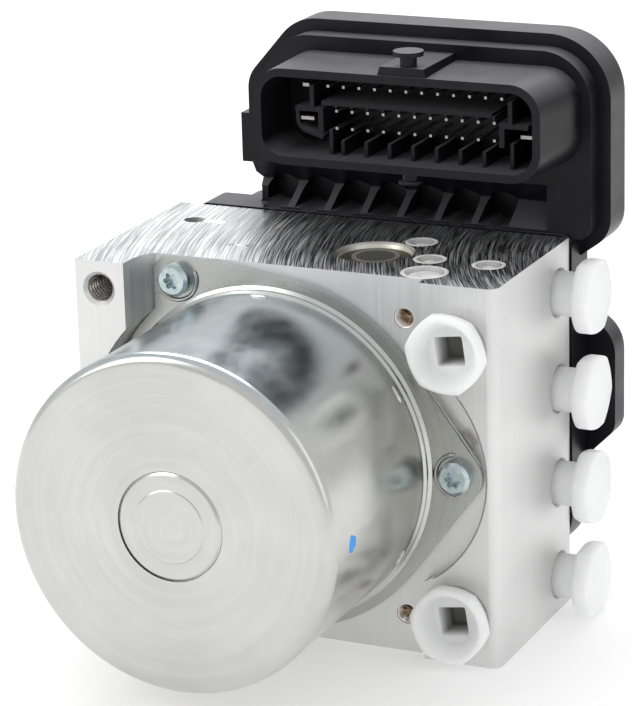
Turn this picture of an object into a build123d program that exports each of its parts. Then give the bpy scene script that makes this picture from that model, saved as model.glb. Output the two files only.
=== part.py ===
from build123d import *
import math
import os

os.makedirs("parts", exist_ok=True)

# Brake pressure modulator: ported aluminium block, pump motor on its front face and
# controller housing with the plug connector on its rear face.
# X runs to the right, Y to the rear, Z up. Millimetres.
# The origin is the centre of the block's bottom face.

# --- hydraulic block ---------------------------------------------------------------
block_width = 103.0
block_depth = 47.4
block_height = 92.0
boss_width = 12.8
boss_proud = 8.1
boss_straight = 4.1
boss_root_radius = 10.0
channel_depth = 3.0
land_width = 18.8
block_edge_round = 2.5
lobe_radius = 30.4
lobe_offset = 24.3

left_x = -block_width / 2
right_x = block_width / 2
front_y = -block_depth / 2
rear_y = block_depth / 2
floor_y = front_y + channel_depth
boss_x = left_x + boss_width
boss_front_y = front_y - boss_proud
land_x = right_x - land_width

# --- pump motor --------------------------------------------------------------------
motor_x = -6.1
motor_z = block_height / 2
can_radius = 39.9
can_band_proud = 0.25
can_band_length = 6.0
can_edge_round = 2.5
can_length = 53.7
can_wall = 2.1
can_bead_proud = 1.4
can_bead_height = 2.3
nose_radius = 13.0
nose_depth = 1.2
flange_margin = 3.8
flange_thickness = 1.6
ear_margin = 1.8
ear_radius = 6.2
motor_clearance = 0.6
screw_radius = 2.5
screw_length = 13.0
screw_head_radius = 4.0
screw_head_height = 3.0
fit = 0.02

flange_front_y = floor_y - flange_thickness
can_front_y = flange_front_y - can_length
can_inner_radius = can_radius - can_wall
can_band_radius = can_radius + can_band_proud
can_bead_radius = can_radius + can_bead_proud
flange_radius = can_radius + flange_margin
ear_circle_radius = can_bead_radius + screw_head_radius + ear_margin

# rotor
shaft_radius = 4.0
journal_radius = 3.0
tube_radius = 8.0
tube_wall = 1.8
tube_length = 7.0
core_length = 22.0
magnet_thickness = 7.05
magnet_seat_gap = 0.05
magnet_overhang = 2.0
magnet_split = 30.0
slot_count = 12
magnet_air_gap = 0.7
core_radius = can_inner_radius - magnet_seat_gap - magnet_thickness - magnet_air_gap
winding_overhang = 4.8
commutator_radius = 10.0
commutator_length = 6.0
bearing_radius = 11.0
bearing_length = 7.0
ball_radius = 1.5
ball_count = 8
ball_circle = 7.5
cup_wall = 1.95
eccentric_offset = 0.9
eccentric_radius = 4.5
eccentric_length = 8.0
ring_radius = 8.0
ring_length = 6.0

# pump
cavity_radius = 13.0
cavity_depth = 17.0
pump_y = floor_y + 11.2
piston_radius = 4.0
piston_length = 12.0
piston_travel = 1.8
ring_gap = 0.05
pump_spring_length = 10.9
pump_plug_radius = 6.5
pump_plug_head = 10.0
pump_wire = 0.8

# valves and accumulators
valve_columns = (-33.5, -13.5, 6.5, 26.5)
inlet_row = block_height - 14.0
outlet_row = inlet_row - 19.5
switch_row = outlet_row - 19.5
valve_depth = 19.4
valve_step = 8.0
valve_bore_radius = 4.2
valve_collar_radius = 5.5
dome_radius = 3.3
dome_length = 9.2
coil_radius = 7.2
coil_length = 7.6
accumulator_x = (-24.5, 12.5)
accumulator_y = rear_y - 17.4
accumulator_radius = 10.0
accumulator_depth = 28.0
accumulator_piston_length = 9.0
accumulator_spring_length = 13.0
accumulator_cap = 4.0
accumulator_wire = 1.4

# motor terminals, pressure sensor, brushes
terminal_radius = 1.2
terminal_spread = 8.0
terminal_z = motor_z - 16.1
sensor_x = 38.5
sensor_z = block_height - 24.0
sensor_radius = 4.5
sensor_depth = 15.0
holder_thickness = 2.0
brush_length = 9.9
brush_width = 6.0
brush_height = 5.0
brush_y_reach = 6.4
slot_width = 5.0

# ports and their transport plugs
port_radius = 5.5
port_depth = 13.0
port_drill_radius = 2.0
port_drill_depth = 24.0
front_port_inset = 10.4
front_port_z = (block_height - 14.8, 11.5)
front_port_drill_depth = 21.0
spot_face_radius = 8.2
spot_face_depth = 0.4
front_neck_radius = 7.6
front_neck_length = 2.1
front_head_corner = 9.15
front_head_thickness = 4.9
front_plug_turn = 52.0
socket_size = 9.8
socket_depth = 6.2
side_port_y = rear_y - 6.7
side_port_low = 8.9
side_port_pitch = (block_height - 11.8 - side_port_low) / 3
side_port_z = [side_port_low + i * side_port_pitch for i in (3, 2, 1, 0)]
side_plug_turns = (54.0, 52.0, 42.0, 0.0)
side_neck_radius = 5.4
side_neck_length = 4.2
side_head_across = 17.5
side_head_thickness = 5.0
mouth_radius = 6.1
shank_length = 9.0

# top face
damper_x = 13.14
damper_y = -3.04
damper_recess_radius = 9.4
damper_recess_depth = 2.0
damper_bore_radius = 6.0
damper_bore_depth = 30.0
damper_disc_radius = 5.75
ball_holes = ((19.92, 8.84), (27.58, -4.44), (42.35, -4.7))
ball_plug_radius = 3.1
large_plug_spot = (30.71, -15.18)
large_plug_radius = 4.7
large_plug_length = 5.0
drill_radius = 1.5
caulk_spots = ((27.7, block_height - 9.8), (27.0, 9.4))
caulk_radius = 2.5
caulk_length = 3.0
bracket_x = left_x + 6.15
bracket_z = block_height - 6.8
bracket_drill_radius = 3.4
bracket_mouth_radius = 4.2
bracket_depth = 16.0

# --- controller housing ------------------------------------------------------------
gasket = 0.6
frame_y = rear_y + gasket
frame_left = left_x + 4.3
frame_right = right_x + 0.5
frame_bottom = 10.0
frame_top = block_height + 0.3
frame_depth = 10.9
frame_wall = 2.0
frame_corner = 12.0
body_y = frame_y + 0.7
rim_y = body_y + 5.5
lobe_y = frame_y + 9.5
split_y = rim_y + 7.5
rim_step = 3.0
housing_wall = 2.5
front_wall = 3.0
cover_depth = 5.0
cover_wall = 2.0
cover_round = 3.0
bulge_depth = 7.0
bulge_corner = 5.0
board_thickness = 1.6
board_edge = 0.5

rim_left = left_x + 16.4
rim_right = right_x + 8.1
rim_top = block_height + 47.4
low_left = left_x + 11.0
notch_x = right_x - 8.0
notch_top = block_height - 12.3
lobe_high = block_height - 22.0
lobe_low = lobe_high - 28.5
low_bottom = frame_bottom + 2.5
bulge_left = low_left + 3.5
bulge_right = notch_x - 3.5
bulge_bottom = low_bottom + 3.5
bulge_top = frame_top - 4.5

tab_width = 2.2
tab_low = block_height + 10.1
tab_high = block_height + 22.5

# connector shroud
shroud_y = body_y - 19.7
shroud_left = left_x + 29.9
shroud_right = right_x - 0.1
shroud_bottom = block_height + 17.0
shroud_top = block_height + 40.4
shroud_wall = 2.0
shroud_corner = 7.5
shroud_flare = 3.0
shroud_floor_y = body_y - 2.5
waist_y = body_y + 8.0
waist_z = block_height + 5.8
waist_top = block_height + 12.0
niche_count = 7
niche_pitch = 9.7
niche_width = 7.9
niche_first = shroud_left - 5.0
niche_floor = frame_top + 0.7
niche_top = block_height + 8.0

pin_size = 0.64
pin_pitch = 4.02
pin_tip_y = shroud_y + 5.0
bar_tip_y = shroud_y + 4.6
pin_first = shroud_left + 17.4
pin_top_z = shroud_top - 4.7
pin_middle_z = shroud_top - 10.6
pin_low_z = shroud_top - 14.8
blade_width = 3.4
blade_thickness = 0.8
blade_left = (shroud_left + 11.9, shroud_top - 12.8)
blade_right = (shroud_right - 5.0, shroud_top - 13.4)
small_blades = ((shroud_left + 11.7, pin_top_z), (shroud_right - 3.8, pin_top_z))
small_blade_width = 1.6
ecu_screw_radius = 1.6
ecu_screw_depth = 10.0
ecu_screw_inset = 3.6
ecu_screw_head = 2.6
ecu_boss_radius = 3.1
ecu_screw_spots = (
    (frame_left + ecu_screw_inset, frame_bottom + 6.0),
    (frame_left + ecu_screw_inset, frame_top - 6.0),
    (frame_right - 4.6, frame_bottom + 8.0),
    (frame_right - 4.6, lobe_high + 2.9),
)
pivot_x = shroud_left + 39.1
pivot_y = shroud_y + 3.2


def face_plane(y):
    """Plane at depth y looking at the front: local x is X, local y is Z."""
    return Plane((0, y, 0), x_dir=(1, 0, 0), z_dir=(0, -1, 0))


def side_plane(x):
    """Plane at x looking at the right side: local x is Y, local y is Z."""
    return Plane((x, 0, 0), x_dir=(0, 1, 0), z_dir=(1, 0, 0))


def turned(points, x=motor_x, z=motor_z):
    """Piece turned about an axis along Y, from (radius, y) points."""
    with BuildPart() as piece:
        with BuildSketch(Plane.XY.offset(z)):
            with BuildLine():
                Polyline(*[(x + r, y) for r, y in points], close=True)
            make_face()
        revolve(axis=Axis((x, 0, z), (0, 1, 0)))
    return piece


def turned_upright(points, x, y):
    """Piece turned about a vertical axis, from (radius, z) points."""
    with BuildPart() as piece:
        with BuildSketch(Plane.XZ.offset(-y)):
            with BuildLine():
                Polyline(*[(x + r, z) for r, z in points], close=True)
            make_face()
        revolve(axis=Axis((x, y, 0), (0, 0, 1)))
    return piece


def coil_spring(origin, direction, length, outer_radius, wire, turns):
    """Helical spring of square wire from origin along direction."""
    end_gap = 0.05
    mean_radius = outer_radius - wire / 2
    height = length - 1.2 * wire - 2 * end_gap
    start = Plane(origin=origin, z_dir=direction).offset(0.6 * wire + end_gap)
    with BuildPart() as spring:
        with BuildLine() as path:
            Helix(
                pitch=height / turns,
                height=height,
                radius=mean_radius,
                center=start.origin,
                direction=direction,
            )
        begin = path.line @ 0
        with BuildSketch(Plane(origin=begin, x_dir=begin - start.origin, z_dir=path.line % 0)):
            Rectangle(wire, wire)
        sweep(path=path.line, is_frenet=True)
    return spring


def port_plug(seat, neck, neck_length, corner, thickness, turn, socket):
    """Plastic plug with a shank in the port, a neck and a six-sided head."""
    with BuildPart() as plug:
        with BuildSketch(seat.offset(-shank_length)):
            Circle(side_neck_radius)
        extrude(amount=shank_length)
        with BuildSketch(seat):
            Circle(neck)
        extrude(amount=neck_length)
        with BuildSketch(seat.offset(neck_length)) as head:
            RegularPolygon(radius=corner, side_count=6, rotation=turn)
            fillet(head.vertices(), radius=0.8)
        extrude(amount=thickness)
        if socket:
            with BuildSketch(seat.offset(neck_length + thickness)):
                RectangleRounded(socket_size, socket_size, 0.5)
            extrude(amount=-socket_depth, mode=Mode.SUBTRACT)
        top = plug.faces().sort_by(Axis(seat.origin, seat.z_dir))[-1]
        chamfer(top.outer_wire().edges(), length=0.4)
    return plug


# --- hydraulic block: extruded section, then milled and drilled -----------------------
straight_y = boss_front_y + boss_straight
root_angle = math.degrees(math.asin((floor_y - straight_y) / boss_root_radius))
with BuildPart() as hydraulic_block:
    with BuildSketch() as section:
        with BuildLine():
            root = CenterArc(
                (boss_x + boss_root_radius, straight_y), boss_root_radius, 180, -root_angle
            )
            Polyline(
                root @ 1,
                (land_x, floor_y),
                (land_x, front_y),
                (right_x, front_y),
                (right_x, rear_y),
                (left_x, rear_y),
                (left_x, boss_front_y),
                (boss_x, boss_front_y),
                root @ 0,
            )
        make_face()
    extrude(amount=block_height)
    upright = hydraulic_block.edges().filter_by(Axis.Z)
    fillet(upright.group_by(Axis.X)[-1].sort_by(Axis.Y)[0], radius=block_edge_round)
    # pocket that clears the motor foot and its right ear
    with BuildSketch(face_plane(floor_y)):
        with Locations((motor_x + lobe_offset, motor_z)):
            Circle(lobe_radius)
        with Locations((motor_x, motor_z)):
            Circle(flange_radius + motor_clearance)
    extrude(amount=channel_depth + boss_proud + 1, mode=Mode.SUBTRACT)
    # eccentric chamber and the pump bore through it
    with Locations(Plane((motor_x, floor_y, motor_z), z_dir=(0, -1, 0))):
        Hole(radius=cavity_radius, depth=cavity_depth)
    upper_end = motor_z + eccentric_offset + ring_radius + ring_gap
    upper_end = upper_end + piston_length + pump_spring_length + 2 * ring_gap
    with Locations(Plane((motor_x, pump_y, 0), z_dir=(0, 0, -1))):
        CounterBoreHole(
            radius=piston_radius + fit,
            counter_bore_radius=pump_plug_radius,
            counter_bore_depth=pump_plug_head,
            depth=upper_end,
        )
    # accumulator bores in the bottom face
    for x in accumulator_x:
        with Locations(Plane((x, accumulator_y, 0), z_dir=(0, 0, -1))):
            Hole(radius=accumulator_radius, depth=accumulator_depth)
    # stepped valve bores in the rear face
    for z in (inlet_row, outlet_row, switch_row):
        for x in valve_columns:
            with Locations(Plane((x, rear_y, z), z_dir=(0, 1, 0))):
                CounterBoreHole(
                    radius=valve_bore_radius,
                    counter_bore_radius=valve_collar_radius,
                    counter_bore_depth=valve_step,
                    depth=valve_depth,
                )
    # ports for the master cylinder in the front face
    for z in front_port_z:
        with Locations(Plane((right_x - front_port_inset, front_y, z), z_dir=(0, -1, 0))):
            CounterBoreHole(
                radius=port_radius,
                counter_bore_radius=spot_face_radius,
                counter_bore_depth=spot_face_depth,
                depth=port_depth,
            )
            Hole(radius=port_drill_radius, depth=front_port_drill_depth)
    # wheel ports in the right face
    for z in side_port_z:
        with Locations(Plane((right_x, side_port_y, z), z_dir=(1, 0, 0))):
            CounterSinkHole(
                radius=port_radius,
                counter_sink_radius=mouth_radius,
                depth=port_depth,
                counter_sink_angle=90,
            )
            Hole(radius=port_drill_radius, depth=port_drill_depth)
    # damper recess, ball plugs and their drillings in the top face
    with Locations(Plane((damper_x, damper_y, block_height))):
        CounterBoreHole(
            radius=damper_bore_radius,
            counter_bore_radius=damper_recess_radius,
            counter_bore_depth=damper_recess_depth,
            depth=damper_bore_depth,
        )
    for x, y in ball_holes:
        with Locations((x, y, block_height)):
            Hole(radius=ball_plug_radius, depth=2 * ball_plug_radius + 0.6)
            Hole(radius=drill_radius, depth=20)
    with Locations((*large_plug_spot, block_height)):
        Hole(radius=large_plug_radius, depth=large_plug_length + 1.0)
        Hole(radius=drill_radius, depth=20)
    # caulked drillings in the pocket floor
    for x, z in caulk_spots:
        with Locations(Plane((x, floor_y, z), z_dir=(0, -1, 0))):
            Hole(radius=caulk_radius, depth=caulk_length + 0.3)
            Hole(radius=drill_radius, depth=18)
    # M8 bracket thread in the boss
    with Locations(Plane((bracket_x, boss_front_y, bracket_z), z_dir=(0, -1, 0))):
        CounterSinkHole(
            radius=bracket_drill_radius,
            counter_sink_radius=bracket_mouth_radius,
            depth=bracket_depth,
            counter_sink_angle=90,
        )
    # slanted drilling near the top left corner
    with Locations(Plane((left_x + 12.0, 9.4, block_height + 2), z_dir=(0.5, 0, 1))):
        Hole(radius=2.4, depth=16)
    # threads for the motor screws
    for angle in (0, 120, 240):
        ear_x = motor_x + ear_circle_radius * math.cos(math.radians(angle))
        ear_z = motor_z + ear_circle_radius * math.sin(math.radians(angle))
        with Locations(Plane((ear_x, floor_y, ear_z), z_dir=(0, -1, 0))):
            Hole(radius=screw_radius + fit, depth=screw_length)
    # motor terminals, pressure sensor and controller screws
    for side in (-1, 1):
        with Locations(Plane((motor_x + side * terminal_spread, floor_y, terminal_z), z_dir=(0, -1, 0))):
            Hole(radius=terminal_radius + 0.1)
    with Locations(Plane((sensor_x, rear_y, sensor_z), z_dir=(0, 1, 0))):
        Hole(radius=sensor_radius, depth=sensor_depth)
    for x, z in ecu_screw_spots:
        with Locations(Plane((x, rear_y, z), z_dir=(0, 1, 0))):
            Hole(radius=ecu_screw_radius + fit, depth=ecu_screw_depth)
hydraulic_block.part.label = "hydraulic_block"
export_step(hydraulic_block.part, "parts/hydraulic_block.step")

# --- motor flange: plate with three ears and the cup of the rear bearing ---------------
with BuildPart() as motor_flange:
    with BuildSketch(face_plane(floor_y)) as plate:
        with Locations((motor_x, motor_z)):
            Circle(flange_radius)
            with PolarLocations(ear_circle_radius, 3):
                Circle(ear_radius)
        make_hull()
        with Locations((motor_x - 29.5, motor_z)):
            Rectangle(200, block_height - 0.4, align=(Align.MIN, Align.CENTER), mode=Mode.INTERSECT)
        with Locations((motor_x, motor_z)):
            Circle(flange_radius)
        with Locations((motor_x, motor_z)):
            Circle(bearing_radius, mode=Mode.SUBTRACT)
            with PolarLocations(ear_circle_radius, 3):
                Circle(screw_radius + 0.2, mode=Mode.SUBTRACT)
        with Locations((motor_x - terminal_spread, terminal_z), (motor_x + terminal_spread, terminal_z)):
            Circle(terminal_radius + 0.4, mode=Mode.SUBTRACT)
    extrude(amount=flange_thickness)
    cup_end = flange_front_y + 0.3 + bearing_length
    with BuildSketch(face_plane(floor_y)):
        with Locations((motor_x, motor_z)):
            Circle(bearing_radius + cup_wall)
            Circle(bearing_radius, mode=Mode.SUBTRACT)
    extrude(amount=-(cup_end - floor_y))
    with BuildSketch(face_plane(cup_end)):
        with Locations((motor_x, motor_z)):
            Circle(bearing_radius + cup_wall)
            Circle(bearing_radius - 1.3, mode=Mode.SUBTRACT)
    extrude(amount=-1.0)
motor_flange.part.label = "motor_flange"
export_step(motor_flange.part, "parts/motor_flange.step")

# --- motor can: drawn steel cup with a bearing tube in its nose -----------------------
inner_y = can_front_y + can_wall
nose_inner_y = can_front_y + nose_depth + can_wall - 0.3
tube_end_y = nose_inner_y + tube_length
with BuildPart() as motor_can:
    with BuildSketch(Plane.XY.offset(motor_z)) as wall:
        with BuildLine():
            rim = CenterArc(
                (motor_x + can_band_radius - can_edge_round, can_front_y + can_edge_round),
                can_edge_round,
                270,
                90,
            )
            band_y = can_front_y + can_band_length
            Polyline(
                rim @ 1,
                (motor_x + can_band_radius, band_y),
                (motor_x + can_radius, band_y + 0.4),
                (motor_x + can_radius, flange_front_y - can_bead_height - 0.5),
                (motor_x + can_radius + 0.6, flange_front_y - can_bead_height),
                (motor_x + can_radius + 0.6, flange_front_y - 0.6 * can_bead_height),
                (motor_x + can_bead_radius, flange_front_y - 0.4 * can_bead_height),
                (motor_x + can_bead_radius, flange_front_y),
                (motor_x + can_inner_radius, flange_front_y),
                (motor_x + can_inner_radius, inner_y),
                (motor_x + nose_radius + 1.0, inner_y),
                (motor_x + nose_radius + 1.0, nose_inner_y),
                (motor_x + tube_radius + tube_wall, nose_inner_y),
                (motor_x + tube_radius + tube_wall, tube_end_y),
                (motor_x + tube_radius, tube_end_y),
                (motor_x + tube_radius, nose_inner_y),
                (motor_x, nose_inner_y),
                (motor_x, can_front_y + nose_depth),
                (motor_x + nose_radius, can_front_y + nose_depth),
                (motor_x + nose_radius, can_front_y + 0.35),
                (motor_x + nose_radius + 2.5, can_front_y),
                rim @ 0,
            )
        make_face()
    revolve(axis=Axis((motor_x, 0, motor_z), (0, 1, 0)))
motor_can.part.label = "motor_can"
export_step(motor_can.part, "parts/motor_can.step")

cap_y = can_front_y + nose_depth
motor_nose_cap = turned(
    [
        (0, cap_y),
        (nose_radius - 0.2, cap_y),
        (nose_radius - 0.2, can_front_y + 0.6),
        (nose_radius - 0.8, can_front_y + 0.15),
        (nose_radius - 4.3, can_front_y + 0.15),
        (nose_radius - 4.6, can_front_y),
        (0, can_front_y),
    ]
)
motor_nose_cap.part.label = "motor_nose_cap"
export_step(motor_nose_cap.part, "parts/motor_nose_cap.step")

# --- three six-lobe pan head screws -----------------------------------------------------
with BuildPart() as motor_screws:
    with BuildSketch(face_plane(flange_front_y)):
        with Locations((motor_x, motor_z)):
            with PolarLocations(ear_circle_radius, 3):
                Circle(screw_head_radius)
    extrude(amount=screw_head_height)
    chamfer(motor_screws.faces().sort_by(Axis.Y)[0:3].edges(), length=0.8)
    with BuildSketch(face_plane(flange_front_y)):
        with Locations((motor_x, motor_z)):
            with PolarLocations(ear_circle_radius, 3):
                Circle(screw_radius)
    extrude(amount=-(flange_thickness + screw_length - 1))
    with BuildSketch(face_plane(flange_front_y - screw_head_height)):
        with Locations((motor_x, motor_z)):
            with PolarLocations(ear_circle_radius, 3):
                Circle(1.55)
                with PolarLocations(1.6, 6):
                    Circle(0.5)
    extrude(amount=-1.8, mode=Mode.SUBTRACT)
motor_screws.part.label = "motor_screws"
export_step(motor_screws.part, "parts/motor_screws.step")

# --- rotor ------------------------------------------------------------------------------
core_y = inner_y + 16.0
core_end_y = core_y + core_length
commutator_end_y = flange_front_y - 1.9
eccentric_y = cup_end + 0.5
eccentric_end_y = eccentric_y + eccentric_length
with BuildPart() as rotor_shaft:
    with BuildSketch(face_plane(eccentric_y)):
        with Locations((motor_x, motor_z)):
            Circle(shaft_radius - 0.01)
    extrude(amount=eccentric_y - tube_end_y)
    with BuildSketch(face_plane(tube_end_y)):
        with Locations((motor_x, motor_z)):
            Circle(journal_radius - 0.01)
    extrude(amount=tube_length - 0.5)
    with BuildSketch(face_plane(eccentric_y)):
        with Locations((motor_x + eccentric_offset, motor_z)):
            Circle(eccentric_radius)
    extrude(amount=-eccentric_length)
rotor_shaft.part.label = "rotor_shaft"
export_step(rotor_shaft.part, "parts/rotor_shaft.step")

with BuildPart() as armature_core:
    with BuildSketch(face_plane(core_y)):
        with Locations((motor_x, motor_z)):
            Circle(core_radius)
            Circle(shaft_radius, mode=Mode.SUBTRACT)
            with PolarLocations(0.72 * core_radius, slot_count):
                Rectangle(0.38 * core_radius, slot_width, mode=Mode.SUBTRACT)
            with PolarLocations(0.95 * core_radius, slot_count):
                Rectangle(0.12 * core_radius, 2.0, mode=Mode.SUBTRACT)
    extrude(amount=-core_length)
armature_core.part.label = "armature_core"
export_step(armature_core.part, "parts/armature_core.step")

with BuildPart() as armature_windings:
    with BuildSketch(face_plane(core_y)):
        with Locations((motor_x, motor_z)):
            with PolarLocations(0.72 * core_radius, slot_count):
                Rectangle(0.36 * core_radius, slot_width - 0.4)
    extrude(amount=-core_length)
    for y, way in ((core_y, 1), (core_end_y, -1)):
        with BuildSketch(face_plane(y)):
            with Locations((motor_x, motor_z)):
                Circle(0.9 * core_radius)
                Circle(0.42 * core_radius, mode=Mode.SUBTRACT)
        extrude(amount=way * winding_overhang)
armature_windings.part.label = "armature_windings"
export_step(armature_windings.part, "parts/armature_windings.step")

with BuildPart() as commutator:
    with BuildSketch(face_plane(commutator_end_y)):
        with Locations((motor_x, motor_z)):
            Circle(commutator_radius)
            Circle(shaft_radius, mode=Mode.SUBTRACT)
            with PolarLocations(commutator_radius, slot_count):
                Rectangle(1.6, 0.6, mode=Mode.SUBTRACT)
    extrude(amount=commutator_length)
commutator.part.label = "commutator"
export_step(commutator.part, "parts/commutator.step")

front_bush = turned(
    [
        (journal_radius + fit, nose_inner_y + 0.2),
        (tube_radius - fit, nose_inner_y + 0.2),
        (tube_radius - fit, tube_end_y - 1.0),
        (journal_radius + fit, tube_end_y - 1.0),
    ]
)
front_bush.part.label = "front_bush"
export_step(front_bush.part, "parts/front_bush.step")

with BuildPart() as motor_magnets:
    with BuildSketch(face_plane(core_y - magnet_overhang)):
        with Locations((motor_x, motor_z)):
            Circle(can_inner_radius - magnet_seat_gap)
            Circle(core_radius + magnet_air_gap, mode=Mode.SUBTRACT)
            Rectangle(magnet_split, 3 * can_radius, mode=Mode.SUBTRACT)
    extrude(amount=-(core_length + 2 * magnet_overhang))
motor_magnets.part.label = "motor_magnets"
export_step(motor_magnets.part, "parts/motor_magnets.step")

# --- rear ball bearing in the flange cup -------------------------------------------------
bearing_y = flange_front_y + 0.3
groove = ball_radius + 0.05
with BuildPart() as bearing_outer_ring:
    with BuildSketch(face_plane(bearing_y)):
        with Locations((motor_x, motor_z)):
            Circle(bearing_radius - fit)
            Circle(ball_circle + 1.0, mode=Mode.SUBTRACT)
    extrude(amount=-bearing_length)
    with BuildSketch(Plane.XY.offset(motor_z)):
        with Locations((motor_x + ball_circle, bearing_y + bearing_length / 2)):
            Circle(groove)
    revolve(axis=Axis((motor_x, 0, motor_z), (0, 1, 0)), mode=Mode.SUBTRACT)
bearing_outer_ring.part.label = "bearing_outer_ring"
export_step(bearing_outer_ring.part, "parts/bearing_outer_ring.step")

with BuildPart() as bearing_inner_ring:
    with BuildSketch(face_plane(bearing_y)):
        with Locations((motor_x, motor_z)):
            Circle(ball_circle - 1.0)
            Circle(shaft_radius, mode=Mode.SUBTRACT)
    extrude(amount=-bearing_length)
    with BuildSketch(Plane.XY.offset(motor_z)):
        with Locations((motor_x + ball_circle, bearing_y + bearing_length / 2)):
            Circle(groove)
    revolve(axis=Axis((motor_x, 0, motor_z), (0, 1, 0)), mode=Mode.SUBTRACT)
bearing_inner_ring.part.label = "bearing_inner_ring"
export_step(bearing_inner_ring.part, "parts/bearing_inner_ring.step")

with BuildPart() as bearing_balls:
    ball_plane = face_plane(bearing_y + bearing_length / 2)
    ball_plane.origin = (motor_x, bearing_y + bearing_length / 2, motor_z)
    with Locations(ball_plane):
        with PolarLocations(ball_circle, ball_count):
            Sphere(ball_radius)
bearing_balls.part.label = "bearing_balls"
export_step(bearing_balls.part, "parts/bearing_balls.step")

with BuildPart() as eccentric_ring:
    with BuildSketch(face_plane(eccentric_y + 1.0)):
        with Locations((motor_x + eccentric_offset, motor_z)):
            Circle(ring_radius)
            Circle(eccentric_radius + fit, mode=Mode.SUBTRACT)
    extrude(amount=-ring_length)
eccentric_ring.part.label = "eccentric_ring"
export_step(eccentric_ring.part, "parts/eccentric_ring.step")

# --- brushes ------------------------------------------------------------------------------
brush_y = commutator_end_y - commutator_length / 2
brush_in = commutator_radius + 0.1
with BuildPart() as brush_holder:
    with BuildSketch(face_plane(flange_front_y)):
        with Locations((motor_x, motor_z)):
            Circle(can_inner_radius - 0.3)
            Circle(bearing_radius + 0.2, mode=Mode.SUBTRACT)
        with Locations((motor_x - terminal_spread, terminal_z), (motor_x + terminal_spread, terminal_z)):
            Circle(terminal_radius + fit, mode=Mode.SUBTRACT)
    extrude(amount=holder_thickness)
    for side in (-1, 1):
        box_in = motor_x + side * (brush_in + 1.5)
        box_align = Align.MIN if side > 0 else Align.MAX
        with BuildSketch(face_plane(flange_front_y - holder_thickness)):
            with Locations((box_in, motor_z)):
                Rectangle(brush_length + 3.5, brush_width + 2.4, align=(box_align, Align.CENTER))
        extrude(amount=brush_y_reach)
        with BuildSketch(face_plane(brush_y + brush_height / 2 + 0.05)):
            with Locations((motor_x + side * brush_in, motor_z)):
                Rectangle(brush_length + 4.0, brush_width + 0.1, align=(box_align, Align.CENTER))
        extrude(amount=brush_height + 0.1, mode=Mode.SUBTRACT)
brush_holder.part.label = "brush_holder"
export_step(brush_holder.part, "parts/brush_holder.step")

with BuildPart() as carbon_brushes:
    with BuildSketch(face_plane(brush_y + brush_height / 2)):
        for side in (-1, 1):
            with Locations((motor_x + side * (brush_in + brush_length / 2), motor_z)):
                Rectangle(brush_length, brush_width)
    extrude(amount=brush_height)
carbon_brushes.part.label = "carbon_brushes"
export_step(carbon_brushes.part, "parts/carbon_brushes.step")

spring_left = coil_spring(
    (motor_x - brush_in - brush_length, brush_y, motor_z), (-1, 0, 0), 4.0, 2.2, 0.5, 3
)
spring_right = coil_spring(
    (motor_x + brush_in + brush_length, brush_y, motor_z), (1, 0, 0), 4.0, 2.2, 0.5, 3
)
with BuildPart() as brush_springs:
    add(spring_left.part)
    add(spring_right.part)
brush_springs.part.label = "brush_springs"
export_step(brush_springs.part, "parts/brush_springs.step")

with BuildPart() as motor_terminals:
    with BuildSketch(face_plane(flange_front_y)):
        with Locations((motor_x - terminal_spread, terminal_z), (motor_x + terminal_spread, terminal_z)):
            Circle(terminal_radius)
    extrude(amount=-(split_y - flange_front_y))
    with BuildSketch(face_plane(flange_front_y)):
        with Locations((motor_x - terminal_spread, terminal_z), (motor_x + terminal_spread, terminal_z)):
            Circle(terminal_radius)
    extrude(amount=holder_thickness)
motor_terminals.part.label = "motor_terminals"
export_step(motor_terminals.part, "parts/motor_terminals.step")

# --- radial pump: two pistons on the eccentric, their springs and the bore plug -------------
tip = eccentric_offset + ring_radius + ring_gap
upper_low = motor_z + tip
upper_high = upper_low + piston_length
lower_high = motor_z - tip
lower_low = lower_high - piston_length
pump_piston_upper = turned_upright(
    [
        (0, upper_low),
        (piston_radius - 0.8, upper_low),
        (piston_radius, upper_low + 0.8),
        (piston_radius, upper_high - 3.0),
        (piston_radius - 0.6, upper_high - 3.0),
        (piston_radius - 0.6, upper_high - 2.0),
        (piston_radius, upper_high - 2.0),
        (piston_radius, upper_high),
        (0, upper_high),
    ],
    motor_x,
    pump_y,
)
pump_piston_upper.part.label = "pump_piston_upper"
export_step(pump_piston_upper.part, "parts/pump_piston_upper.step")

pump_piston_lower = turned_upright(
    [
        (0, lower_high),
        (piston_radius - 0.8, lower_high),
        (piston_radius, lower_high - 0.8),
        (piston_radius, lower_low + 3.0),
        (piston_radius - 0.6, lower_low + 3.0),
        (piston_radius - 0.6, lower_low + 2.0),
        (piston_radius, lower_low + 2.0),
        (piston_radius, lower_low),
        (0, lower_low),
    ],
    motor_x,
    pump_y,
)
pump_piston_lower.part.label = "pump_piston_lower"
export_step(pump_piston_lower.part, "parts/pump_piston_lower.step")

pump_spring_upper = coil_spring(
    (motor_x, pump_y, upper_high), (0, 0, 1), pump_spring_length, piston_radius - 0.3, pump_wire, 5
)
pump_spring_upper.part.label = "pump_spring_upper"
export_step(pump_spring_upper.part, "parts/pump_spring_upper.step")

pump_spring_lower = coil_spring(
    (motor_x, pump_y, lower_low), (0, 0, -1), pump_spring_length, piston_radius - 0.3, pump_wire, 5
)
pump_spring_lower.part.label = "pump_spring_lower"
export_step(pump_spring_lower.part, "parts/pump_spring_lower.step")

nose_top = lower_low - pump_spring_length
pump_plug = turned_upright(
    [
        (0, 0.5),
        (pump_plug_radius - fit, 0.5),
        (pump_plug_radius - fit, pump_plug_head),
        (piston_radius - fit, pump_plug_head),
        (piston_radius - fit, nose_top),
        (0, nose_top),
    ],
    motor_x,
    pump_y,
)
pump_plug.part.label = "pump_plug"
export_step(pump_plug.part, "parts/pump_plug.step")

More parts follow.
